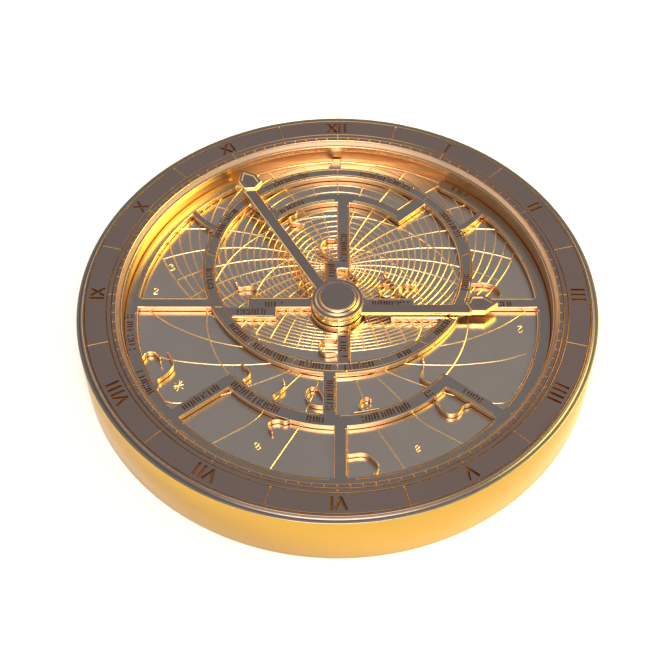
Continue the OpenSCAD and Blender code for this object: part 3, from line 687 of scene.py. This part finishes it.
out_r = lambda x, y: (np.hypot(x, y) < RC) & (np.hypot(x, y) > 8.6)
sky = lambda x, y: out_r(x, y) & (np.hypot(x, y - HY) < HR + 0.05)
k = 0
while True:
    a = 2.98 * k + 0.0152 * k * k
    if a > 86:
        break
    a = math.radians(a)
    round_line(0, EQ * CP / (SP + math.sin(a)), EQ * math.cos(a) / (SP + math.sin(a)), out_r, w=0.54 if k else 0.6)
    k += 1
for b in range(-80, 90, 10):
    t = math.radians(b)
    rr = EQ / CP
    round_line(rr * math.tan(t), -EQ * math.tan(PHI), rr / math.cos(t), sky, h=H + 0.01 + 0.0001 * b)
ym = np.linspace(-RC, RC, 200)
pm = np.stack([np.zeros(200), ym], 1)
lay(pm, sky(pm[:, 0], pm[:, 1]), h=H + 0.015)
for r in (EQ, EQ * math.tan(math.radians(33.28))):
    round_line(0, 0, r, out_r, h=H + 0.025, w=0.5)
round_line(0, 0, RC + 0.12, lambda x, y: np.ones(np.shape(x), bool), h=H)
round_line(0, 0, 8.5, lambda x, y: np.ones(np.shape(x), bool), h=H)
HOURS = [
    [(-.80, .04), (-.757, -.001), (-.68, -.062), (-.599, -.108), (-.50, -.15), (-.397, -.177), (-.30, -.192), (-.2, -.2)],
    [(-.745, -.215), (-.65, -.246), (-.54, -.263), (-.431, -.2705), (-.291, -.265), (-.18, -.245), (-.1, -.22)],
    [(-.69, -.43), (-.616, -.4535), (-.48, -.425), (-.347, -.375), (-.2065, -.3075), (-.1, -.24)],
    [(-.49, -.65), (-.40, -.592), (-.313, -.529), (-.218, -.405), (-.134, -.304), (-.07, -.22)],
    [(-.255, -.76), (-.20, -.66), (-.15, -.568), (-.10, -.43), (-.063, -.32), (-.03, -.22)],
]
for pts in HOURS:
    for sgn in (-1, 1):
        p = smooth_path([(sgn * -x * U, y * U) for x, y in pts], 1.2)
        if sgn < 0:
            p = p * np.array([1, 1])
        lay(p, out_r(p[:, 0], p[:, 1]) & (np.hypot(p[:, 0], p[:, 1]) > 0.335 * U), w=0.46, h=0.19)
# small hour figures on the plate
FIG = {
    "2": [[(-.5, .55), (-.2, 1), (.3, 1), (.55, .6), (.3, .1), (-.55, -1), (.6, -1)]],
    "3": [[(-.5, .8), (0, 1), (.5, .65), (.05, .1), (.6, -.5), (.1, -1), (-.55, -.8)]],
    "8": [[(0, 0), (.5, .5), (0, 1), (-.5, .5), (0, 0), (.6, -.5), (0, -1), (-.6, -.5), (0, 0)]],
    "star": [[(-.7, -.9), (.7, .9)], [(-.9, .3), (.9, -.3)], [(-.4, 1), (.4, -1)], [(-1, -.3), (1, .5)]],
}
for ch, x, y, rot, s in [("2", -.745, .105, 0, 1.05), ("3", -.69, .235, 20, 1.2), ("2", .731, -.091, 180, 1.1), ("8", -.3, -.649, 20, 1.15),
                         ("star", -.616, -.37, 30, 1.5), ("3", .60, -.60, 200, 1.0), ("8", .30, -.66, 190, 1.0)]:
    c, q = math.cos(math.radians(rot)), math.sin(math.radians(rot))
    for line in FIG[ch]:
        pts = smooth_path([(x * U + s * (a * c - b * q), y * U + s * (a * q + b * c)) for a, b in line], 0.15)
        rib(B, pts, PLATE, 0.38, 0.21, 0)
B.done("plate_lines_v", [M["rib"]], "case", angle=60)

# ------------------------------------------------------------------ star map
E1, E0, EY = 0.560 * U, 0.506 * U, 0.230 * U
bars = Shape()
bars.arc(0, 0, 0.829 * U, 0.0258 * U, 124, 416)
bars.ring(0, EY, E0, E1)
bars.poly([(x * U, y * U) for x, y in [(.0145, .8486), (-.0215, .8486), (-.0215, .83), (-.027, .817), (-.040, .80), (-.040, .77), (.0145, .77)]])
bars.bar(-.818 * U, -.50 * U, 0, .0503 * U).bar(.50 * U, .818 * U, 0, .0503 * U)
bars.poly([(x * U, y * U) for x, y in [(-.46, -.052), (-.246, -.052), (-.246, 0), (-.05, 0), (-.05, .053), (-.361, .053), (-.361, 0), (-.46, 0)]])
bars.poly([(x * U, y * U) for x, y in [(.05, 0), (.214, 0), (.214, -.057), (.47, -.057), (.47, 0), (.31, 0), (.31, .0503), (.05, .0503)]])
bars.poly([(x * U, y * U) for x, y in [(0, .05), (0, .207), (.052, .207), (.052, .60), (0, .60), (0, .251), (-.053, .251), (-.053, .05)]])
bars.bar(0, .0515 * U, -.30 * U, -.05 * U)
bars.bar(-.055 * U, -.004 * U, -.545 * U, -.31 * U)
bars.bar(-.012 * U, .0395 * U, -.82 * U, -.555 * U)
bars.band(0, 0, .522 * U, .577 * U, 270 - 51.5, 270 + 51.5)
bars.band(0, EY, .352 * U, .402 * U, 42.3, 137.7)
for s in (-1, 1):
    for a, t0, t1, r0, r1, cy in ((42.3, 0, .05, .352, .53, EY), (-38.3, -.0505, 0, .54, .82, 0)):
        c, q = math.cos(math.radians(a)), math.sin(math.radians(a))
        p = [(s * U * (r * c - t * q), cy + U * (r * q + t * c)) for r, t in [(r0, t0), (r1, t0), (r1, t1), (r0, t1)]]
        bars.poly(p if s > 0 else p[::-1])
    bars.ribbon(smooth_path([(s * x * U, y * U) for x, y in [(.495, .420), (.545, .452), (.59, .494), (.628, .545)]]), 2.1, 1.7)
bars.disc(0, 0, .109 * U)
BARE = len(bars.parts)
T = 0.50
POINTERS = [
    ([(-.79, -.262), (-.7640, -.2500), (-.755, -.232), (-.738, -.2238), (-.718, -.227), (-.706, -.2387), (-.6950, -.255), (-.691, -.2736)], T, T * .8),
    ([(-.6680, -.225), (-.6570, -.2450), (-.6411, -.2835), (-.6500, -.312), (-.6685, -.3333), (-.6959, -.363), (-.6908, -.3953), (-.70, -.43)], T, T),
    ([(-.3752, -.278), (-.366, -.292), (-.348, -.3034), (-.3404, -.3333), (-.3652, -.363), (-.3480, -.3953), (-.342, -.44), (-.34, -.43)], T, T * .8),
    ([(-.2112, -.3531), (-.2037, -.3879), (-.2200, -.412), (-.2459, -.4326), (-.2380, -.458), (-.2112, -.4771), (-.205, -.50)], T * .8, T),
    ([(-.0541, -.44), (-.0641, -.415), (-.08, -.398), (-.1007, -.3936), (-.1150, -.405), (-.122, -.4302), (-.1067, -.4637), (-.0794, -.4789), (-.05, -.481)], T, T),
    ([(.1270, -.4520), (.1217, -.4435), (.1060, -.4420), (.0900, -.4560), (.0840, -.4760), (.0900, -.4950), (.1080, -.5020)], T, T),
    ([(.0640, -.5120), (.1080, -.5040), (.1540, -.4930)], T, T),
    ([(.3300, -.235), (.3319, -.2505), (.3368, -.287), (.3228, -.3358), (.3290, -.352), (.3472, -.3662), (.37, -.38), (.383, -.40)], T * .8, T),
    ([(.392, -.385), (.3777, -.4423), (.3898, -.485), (.4080, -.507), (.4294, -.5186), (.4540, -.513), (.469, -.4973), (.4783, -.4789), (.505, -.47)], T, T),
    ([(.02, -.6983), (.0517, -.6983), (.0780, -.694), (.1004, -.6953), (.1220, -.7060), (.1369, -.7228), (.1490, -.738), (.1522, -.7562), (.1460, -.775), (.1278, -.7898)], T * 1.1, T * .7),
    ([(-.18, -.545), (-.1964, -.5519), (-.2200, -.545), (-.241, -.547), (-.2540, -.553), (-.2598, -.5669), (-.2560, -.585), (-.2459, -.5967)], T, T * .8),
    ([(.5300, .128), (.5567, .128), (.5850, .132), (.6129, .128), (.6420, .115), (.6634, .0943), (.6640, .075), (.6578, .055), (.655, .04)], T, T),
    ([(-.4200, .145), (-.4142, .1336), (-.4120, .118), (-.403, .1055), (-.3780, .110), (-.3525, .1111), (-.3350, .103), (-.3278, .0887), (-.333, .06), (-.333, .045)], T * .8, T),
    ([(-.1750, .530), (-.1808, .512), (-.1980, .503), (-.2082, .4895), (-.2050, .475), (-.1886, .4647), (-.1650, .462), (-.1437, .4547)], T, T * .8),
    ([(.0100, .385), (-.0150, .372), (-.0393, .3727), (-.0600, .358), (-.0741, .3255), (-.0680, .300), (-.0450, .277), (-.0146, .2537), (-.02, .235)], T, T),
    ([(.045, .225), (.0500, .195), (.060, .175), (.078, .160), (.0830, .135), (.072, .115), (.070, .095)], T, T),
    ([(-.158, .165), (-.150, .140), (-.160, .112), (-.135, .088), (-.118, .075), (-.118, .045)], T * .8, T),
    ([(.2000, .205), (.190, .180), (.205, .155), (.222, .135), (.2350, .115), (.232, .088), (.212, .062), (.1850, .061), (.1650, .082), (.1660, .108), (.186, .127), (.210, .122)], T * .7, T),
    ([(.3200, .128), (.3098, .1167), (.2870, .124), (.2649, .1167), (.2500, .100), (.2481, .083), (.2600, .066), (.2761, .055), (.28, .04)], T * .8, T),
    ([(.020, -.225), (-.010, -.228), (-.045, -.232), (-.070, -.212), (-.072, -.185), (-.052, -.168), (-.020, -.168), (.015, -.155)], T, T),
]
for p, w0, w1 in POINTERS:
    bars.ribbon(smooth_path([(x * U, y * U) for x, y in p]), w0, w1)
flatpart = Shape()
flatpart.parts = bars.parts[:BARE]
rete = Cut(bars, Shape().disc(0, 0, 3.9))
HG = 0.13
G = rete.grid(HG)
C0 = 0.17
L = []
for p in contours(rete, 0.0, HG, G):
    L.append((p, RETE1 - C0, 1, True))
for p in contours(rete, -C0, HG, G):
    L.append((p, RETE1, 0, True))
# engraved lines
gw, gd = 0.30, 0.22
for r in (.5495, .5155):
    L += groove(circle(r * U, 540, 0, EY), gw, RETE1, gd, 2, True)
ecl = lambda lon: math.degrees(math.atan2(math.cos(math.radians(23.44)) * math.sin(math.radians(lon)), math.cos(math.radians(lon)))) + 180


def cross(ang, R):
    """Distance from the origin to the circle of radius R about (0, EY), in the direction ang."""
    s = EY * math.sin(math.radians(ang))
    return s + math.sqrt(s * s + R * R - EY * EY)


for lon in range(0, 360, 10):
    a = ecl(lon)
    d = (math.cos(math.radians(a)), math.sin(math.radians(a)))
    if lon % 30 == 0:
        r0, r1 = cross(a, .5155 * U) + 0.28, cross(a, .5495 * U) - 0.28
    else:
        r0, r1 = cross(a, .5495 * U) + 0.27, cross(a, .560 * U) - 0.2
    L += groove([(d[0] * r0, d[1] * r0), (d[0] * r1, d[1] * r1)], gw if lon % 30 == 0 else 0.24, RETE1, gd, 2)
for x0, x1, y0, y1 in [(-.795, -.53, .0425, .0425), (.56, .795, .0425, .0425), (-.352, -.115, .0455, .0455), (-.42, -.254, -.0445, -.0445),
                       (.115, .302, .0425, .0425), (.222, .43, -.049, -.049), (.0445, .0445, .215, .565), (-.0455, -.0455, .12, .243),
                       (.0440, .0440, -.26, -.115), (-.0115, -.0115, -.505, -.345), (.0320, .0320, -.795, -.585)]:
    n = max(2, int(math.hypot(x1 - x0, y1 - y0) * U / 4))
    L += groove([(U * (x0 + (x1 - x0) * i / n), U * (y0 + (y1 - y0) * i / n)) for i in range(n + 1)], gw, RETE1, gd, 2)
arcp = lambda cx, cy, r, a0, a1, n: [(cx + r * math.cos(math.radians(a0 + (a1 - a0) * i / n)), cy + r * math.sin(math.radians(a0 + (a1 - a0) * i / n))) for i in range(n + 1)]
L += groove(arcp(0, 0, .5300 * U, 270 - 50.5, 270 - 7.5, 60), gw, RETE1, gd, 2)
L += groove(arcp(0, 0, .5300 * U, 270 + 1.2, 270 + 50, 60), gw, RETE1, gd, 2)
L += groove(arcp(0, EY, .3600 * U, 46, 80, 50), gw, RETE1, gd, 2)
L += groove(arcp(0, EY, .3600 * U, 92, 134, 50), gw, RETE1, gd, 2)
L += groove(arcp(0, EY, .3672 * U, 47, 79.5, 50), gw, RETE1, gd, 2)
L += groove(arcp(0, EY, .3672 * U, 92, 133, 50), gw, RETE1, gd, 2)
L += groove(arcp(0, 0, .8115 * U, 182, 217, 70), gw, RETE1, gd, 2)
L += groove(arcp(0, 0, .8115 * U, 224, 268, 80), gw, RETE1, gd, 2)
L += groove(arcp(0, 0, .8115 * U, 275, 317, 80), gw, RETE1, gd, 2)
L += groove(arcp(0, 0, .8115 * U, 323, 359, 70), gw, RETE1, gd, 2)
L += groove(arcp(0, 0, .8115 * U, 4.5, 38, 70), gw, RETE1, gd, 2)
L += groove(arcp(0, 0, .8115 * U, 144, 176, 70), gw, RETE1, gd, 2)
for s in (1,):
    c, q = math.cos(math.radians(-38.3)), math.sin(math.radians(-38.3))
    L += groove([(s * U * (r * c + .043 * q), U * (r * q - .043 * c)) for r in (.60, .66, .72, .785)], gw, RETE1, gd, 2)
# rows of strokes where the original carries names
words = []


def word_arc(cx, cy, r, px0, px1, turn, seed, height=1.85):
    """Row between two picture-plane points given as (X, Y) in units."""
    a0 = math.degrees(math.atan2(px0[1] * U - cy, px0[0] * U - cx))
    a1 = math.degrees(math.atan2(px1[1] * U - cy, px1[0] * U - cx))
    span = (a1 - a0) * turn % 360
    return minims(on_arc(cx, cy, r, a0, turn), math.radians(span) * r, height, RETE1, 3, seed)


px = lambda x, y: ((x - 784) / 890.9, (784 - y) / 890.9)
RW = .532 * U
for i, (p0, p1, t) in enumerate([((500, 190), (680, 112), -1), ((870, 112), (1080, 200), -1), ((1170, 320), (1245, 450), -1), ((1240, 620), (1262, 715), -1),
                                 ((1125, 905), (1195, 835), 1), ((990, 1005), (1045, 975), 1), ((805, 1060), (915, 1037), 1), ((645, 1048), (760, 1062), 1),
                                 ((482, 960), (612, 1033), 1), ((390, 870), (468, 940), 1), ((310, 705), (295, 600), -1), ((318, 450), (392, 300), -1)]):
    L += word_arc(0, EY, RW, px(*p0), px(*p1), t, 20 + i)
for i, (p0, p1) in enumerate([((405, 1133), (590, 1247)), ((675, 1275), (745, 1285)), ((865, 1280), (1035, 1215)), ((1075, 1165), (1110, 1145))]):
    L += word_arc(0, 0, .5525 * U, px(*p0), px(*p1), 1, 50 + i)
L += word_arc(0, EY, .383 * U, px(557, 310), px(660, 262), -1, 60)
for i, (p0, p1, r) in enumerate([((38, 815), (78, 985), .834), ((98, 1065), (157, 1165), .834)]):
    L += word_arc(0, 0, r * U, px(*p0), px(*p1), 1, 70 + i)
L += word_arc(0, 0, .834 * U, px(1225, 192), px(1277, 238), -1, 75)
for i, (x, y, ang, ln) in enumerate([(520, 770, 0, 105), (420, 806, 0, 122), (905, 768, 0, 138), (1365, 768, 0, 58), (807, 425, -90, 145), (762, 575, -90, 68),
                                     (803, 890, -90, 120), (757, 1105, -90, 132)]):
    X, Y = px(x, y)
    L += minims(on_line(X * U, Y * U, ang), ln / 890.9 * U, 1.85, RETE1, 3, 90 + i)
for i, (x, y, ang, ln, tall) in enumerate([(257.8, 1228, 38.3, 155, 1.75), (1214.3, 1148.3, -38.3, 82, 1.4)]):
    X, Y = px(x, y)
    L += minims(on_line(X * U, Y * U, ang), ln / 890.9 * U, tall, RETE1, 3, 100 + i)


def keep_inside(loops, shape, depth):
    """Drops a feature whose outline would come nearer than depth to the edge. Loops come as outline then floor."""
    out, skip = [], False
    for i, lp in enumerate(loops):
        if lp[2] == 0 and lp[1] == RETE1 and i + 1 < len(loops) and loops[i + 1][2] in (2, 3):
            q = np.asarray(lp[0])
            skip = bool((shape(q[:, 0], q[:, 1]) > -depth).any())
        if not skip or lp[2] == 1:
            out.append(lp)
        if lp[2] in (2, 3):
            skip = False
    return out


first = next(i for i, lp in enumerate(L) if lp[2] == 2) - 2
body_loops, feat = L[:first], L[first:]
L = body_loops + keep_inside(feat, rete, C0 + 0.06)
B = Build()
slab(B, L, lambda x, y: rete(x, y) < 0, RETE1, RETE0, (4, 4), {0: 0, 1: 1, 2: 2, 3: 3})
rib(B, circle(7.72, 240), RETE1 - 0.02, 0.36, 0.2, 2, closed=True, n=8)
B.done("star_map_v", [M["rete"], M["edge"], M["line"], M["cut"], M["side"]], "star_map",
       ["rete_rim", "ecliptic_ring", "rete_straps", "star_pointers"])


# ------------------------------------------------------------------ hands
def hand_piece(name, node, body, length, side, z0, clockwise, boss_top, bore):
    B = Build()
    c = 0.22
    lo, hi = (0.0, 3.3) if side > 0 else (-3.3, 0.0)
    th = math.radians(90 - clockwise)

    def turned(p):
        p = np.asarray(p, float)
        return np.stack([p[:, 0] * math.cos(th) - p[:, 1] * math.sin(th), p[:, 0] * math.sin(th) + p[:, 1] * math.cos(th)], 1)

    def solid(outline, z_top, z_bot, panel=None, step=0.0):
        o = np.asarray(outline, float)
        loops = [(turned(o), z_top - c, 1, True), (turned(inset(o, c)), z_top, 0, True)]
        if panel is not None:
            q = np.asarray(panel, float)
            loops += [(turned(q), z_top, 0, True), (turned(inset(q, 0.30)), z_top - step, 2, True),
                      (turned(inset(q, 0.34)), z_top - step, 0, True)]
        s = Shape().poly(turned(o))
        slab(B, loops, lambda x, y: s(x, y) < 0, z_top, z_bot, (1, 1), {0: 0, 1: 1, 2: 2})

    blade = [(6.0, lo), (length - 8.0, lo), (length - 8.0, hi), (6.0, hi)]
    solid(blade, z0 + 1.0, z0)
    Lh = length
    head = [(Lh, 0), (Lh - 3.9, 3.05), (Lh - 7.8, 3.05), (Lh - 9.3, 0), (Lh - 7.8, -3.05), (Lh - 3.9, -3.05)]
    solid(head, z0 + 1.75, z0, inset(head, 0.86), 0.34)
    lathe(B, [(bore, z0), (7.35, z0), (7.45, z0 + 0.1), (7.45, boss_top - 0.12), (7.33, boss_top), (bore, boss_top)], [1, 1, 1, 1, 0, 1], n=240)
    return B.done(name, [M["hand"], M["hedge"], M["line"]], body, [node])


HH, MH = RETE1 + 0.45, RETE1 + 0.45 + 2.05
hand_piece("hour_hand_v", "hour_hand", "hour", 46.7, -1, HH, 90, HH + 1.75, 2.8)
hand_piece("minute_hand_v", "minute_hand", "minute", 60.4, 1, MH, 330, MH + 1.0, 1.8)
B = Build()
lathe(B, [(0, 16.9), (7.36, 16.9), (7.42, 17.0), (7.42, 17.22), (7.32, 17.34), (6.50, 17.35), (6.42, 17.42), (6.10, 17.76), (6.01, 17.80), (5.42, 17.80),
          (5.34, 17.85), (5.12, 18.28), (5.03, 18.38), (4.96, 18.40), (0, 18.40)],
      [0, 1, 1, 1, 0, 1, 1, 1, 0, 1, 1, 1, 1, 0, 0], n=240, closed=False)
B.done("hub_cap_v", [M["hand"], M["edge"]], "minute", ["hub_cap"], angle=20)

# ------------------------------------------------------------------ finishes of the CAD pieces that stay
brass = metal("movement_brass", (0.83, 0.62, 0.30), 0.26, var=0.07, rvar=0.07, grain=700, bump=0.08, brushed="y")
wheel = metal("wheel_brass", (0.86, 0.66, 0.33), 0.22, var=0.06, rvar=0.06, grain=900, bump=0.06)
steel = metal("polished_steel", (0.60, 0.60, 0.61), 0.18, var=0.05, rvar=0.05, grain=800, bump=0.05)
blued = metal("blued_steel", (0.045, 0.075, 0.20), 0.18, var=0.25, rvar=0.06, mottle=150, warm=(0.09, 0.07, 0.16))
springs = metal("spring_steel", (0.10, 0.13, 0.22), 0.22, var=0.15, rvar=0.05, mottle=150)
back = metal("back_gold", (0.93, 0.68, 0.35), 0.25, var=0.06, rvar=0.06, grain=650, bump=0.08, brushed="x")
ruby = metal("ruby", (0.45, 0.01, 0.04), 0.08, var=0.1, rvar=0.03, metallic=0.0)
FIN = {"shelf_ring": back, "cover_lugs": brass, "dial_bush": wheel, "chapter_posts": wheel, "chapter_screws": blued, "rete_wheel": wheel,
       "hour_wheel": wheel, "centre_arbor": steel, "centre_wheel": wheel, "cannon_pinion": steel, "setting_knob": back, "minute_wheel": wheel,
       "minute_stud": steel, "front_plate": brass, "back_plate": brass, "pillars": wheel, "plate_screws": blued, "case_screws": blued,
       "barrel": wheel, "barrel_lid": brass, "mainspring": springs, "barrel_arbor": steel, "ratchet_wheel": steel, "winding_knob": back,
       "click": steel, "click_screw": blued, "third_arbor": steel, "third_wheel": wheel, "fourth_arbor": steel, "fourth_wheel": wheel,
       "escape_arbor": steel, "escape_wheel": wheel, "pallet_lever": steel, "pallet_stones": ruby, "balance_staff": steel,
       "balance_wheel": wheel, "hairspring": springs, "hairspring_stud": steel, "rear_cover": back, "cover_screws": blued}
for n, m in FIN.items():
    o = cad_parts[n]
    if not o.data.materials:
        o.data.materials.append(m)
    for i in range(len(o.material_slots)):
        o.material_slots[i].link = "DATA"
        o.data.materials[i] = m

# ------------------------------------------------------------------ floor, light, camera
me = bpy.data.meshes.new("floor")
me.from_pydata([(-6, -6, -0.0004), (6, -6, -0.0004), (6, 6, -0.0004), (-6, 6, -0.0004)], [], [(0, 1, 2, 3)])
fm = bpy.data.materials.new("floor_pale")
fm.use_nodes = True
fb = fm.node_tree.nodes["Principled BSDF"]
fb.inputs["Base Color"].default_value = (0.93, 0.925, 0.92, 1)
fb.inputs["Roughness"].default_value = 0.9
fb.inputs["Specular IOR Level"].default_value = 0.1
me.materials.append(fm)
floor = bpy.data.objects.new("floor", me)
col.objects.link(floor)

world = bpy.data.worlds.new("studio")
bpy.context.scene.world = world
world.use_nodes = True
wn, wl = world.node_tree.nodes, world.node_tree.links
wn.clear()
wo = wn.new("ShaderNodeOutputWorld")
bg = wn.new("ShaderNodeBackground")
tc = wn.new("ShaderNodeTexCoord")
sep = wn.new("ShaderNodeSeparateXYZ")
rampw = wn.new("ShaderNodeValToRGB")
rampw.color_ramp.elements[0].position = 0.05
rampw.color_ramp.elements[0].color = (1.1, 1.1, 1.1, 1)
rampw.color_ramp.elements[1].position = 0.50
rampw.color_ramp.elements[1].color = (0.33, 0.34, 0.36, 1)
wl.new(tc.outputs["Generated"], sep.inputs[0])
wl.new(sep.outputs["Z"], rampw.inputs[0])
cur = rampw.outputs[0]
# soft boxes of the studio: a wide one behind the camera, a warm one to the right
for d, wide, core, colour in [((0, -.8, .6), 46, 10, (1.12, 1.04, 0.90)), ((.74, .16, .62), 26, 8, (10.0, 8.8, 1.8))]:
    dot = wn.new("ShaderNodeVectorMath")
    dot.operation = "DOT_PRODUCT"
    dot.inputs[1].default_value = Vector(d).normalized()
    wl.new(tc.outputs["Generated"], dot.inputs[0])
    fall = wn.new("ShaderNodeMapRange")
    fall.interpolation_type = "SMOOTHSTEP"
    fall.inputs["From Min"].default_value = math.cos(math.radians(wide))
    fall.inputs["From Max"].default_value = math.cos(math.radians(core))
    wl.new(dot.outputs["Value"], fall.inputs["Value"])
    box = wn.new("ShaderNodeVectorMath")
    box.operation = "SCALE"
    box.inputs[0].default_value = colour
    wl.new(fall.outputs[0], box.inputs["Scale"])
    plus = wn.new("ShaderNodeVectorMath")
    plus.operation = "ADD"
    wl.new(cur, plus.inputs[0])
    wl.new(box.outputs[0], plus.inputs[1])
    cur = plus.outputs[0]
wl.new(cur, bg.inputs[0])
bg.inputs[1].default_value = 1.0
wl.new(bg.outputs[0], wo.inputs[0])
ld = bpy.data.lights.new("top_light", "SUN")
ld.energy = 2.3
ld.angle = 0.60
ld.color = (1.0, 0.96, 0.88)
lo_ = bpy.data.objects.new("top_light", ld)
lo_.rotation_euler = (math.radians(26), 0, 0)
col.objects.link(lo_)

F_PX, EL, DIST = 1310.9, math.radians(50.308), 5.2265
PAN, TILT, ROLL = math.radians(0.107), math.radians(-1.767), math.radians(0.045)
right = Vector((1, 0, 0))
backv = Vector((0, -math.cos(EL), math.sin(EL)))
up = backv.cross(right)
C = backv * (DIST * U / 1000) + Vector((0, 0, TOP / 1000))


def rot(v, ax, t):
    return v * math.cos(t) + ax.cross(v) * math.sin(t) + ax * (ax.dot(v)) * (1 - math.cos(t))


r_, b_ = rot(right, up, PAN), rot(backv, up, PAN)
u_, b_ = rot(up, r_, TILT), rot(b_, r_, TILT)
r_, u_ = rot(r_, b_, ROLL), rot(u_, b_, ROLL)
cd = bpy.data.cameras.new("camera")
cd.sensor_width = 36
cd.lens = F_PX / 670 * 36
cd.clip_start = 0.01
cd.clip_end = 50
cam = bpy.data.objects.new("camera", cd)
col.objects.link(cam)
cam.matrix_world = Matrix(((r_.x, u_.x, b_.x, C.x), (r_.y, u_.y, b_.y, C.y), (r_.z, u_.z, b_.z, C.z), (0, 0, 0, 1)))
bpy.context.scene.camera = cam
bpy.context.scene.view_settings.view_transform = "Standard"

bpy.context.view_layer.update()
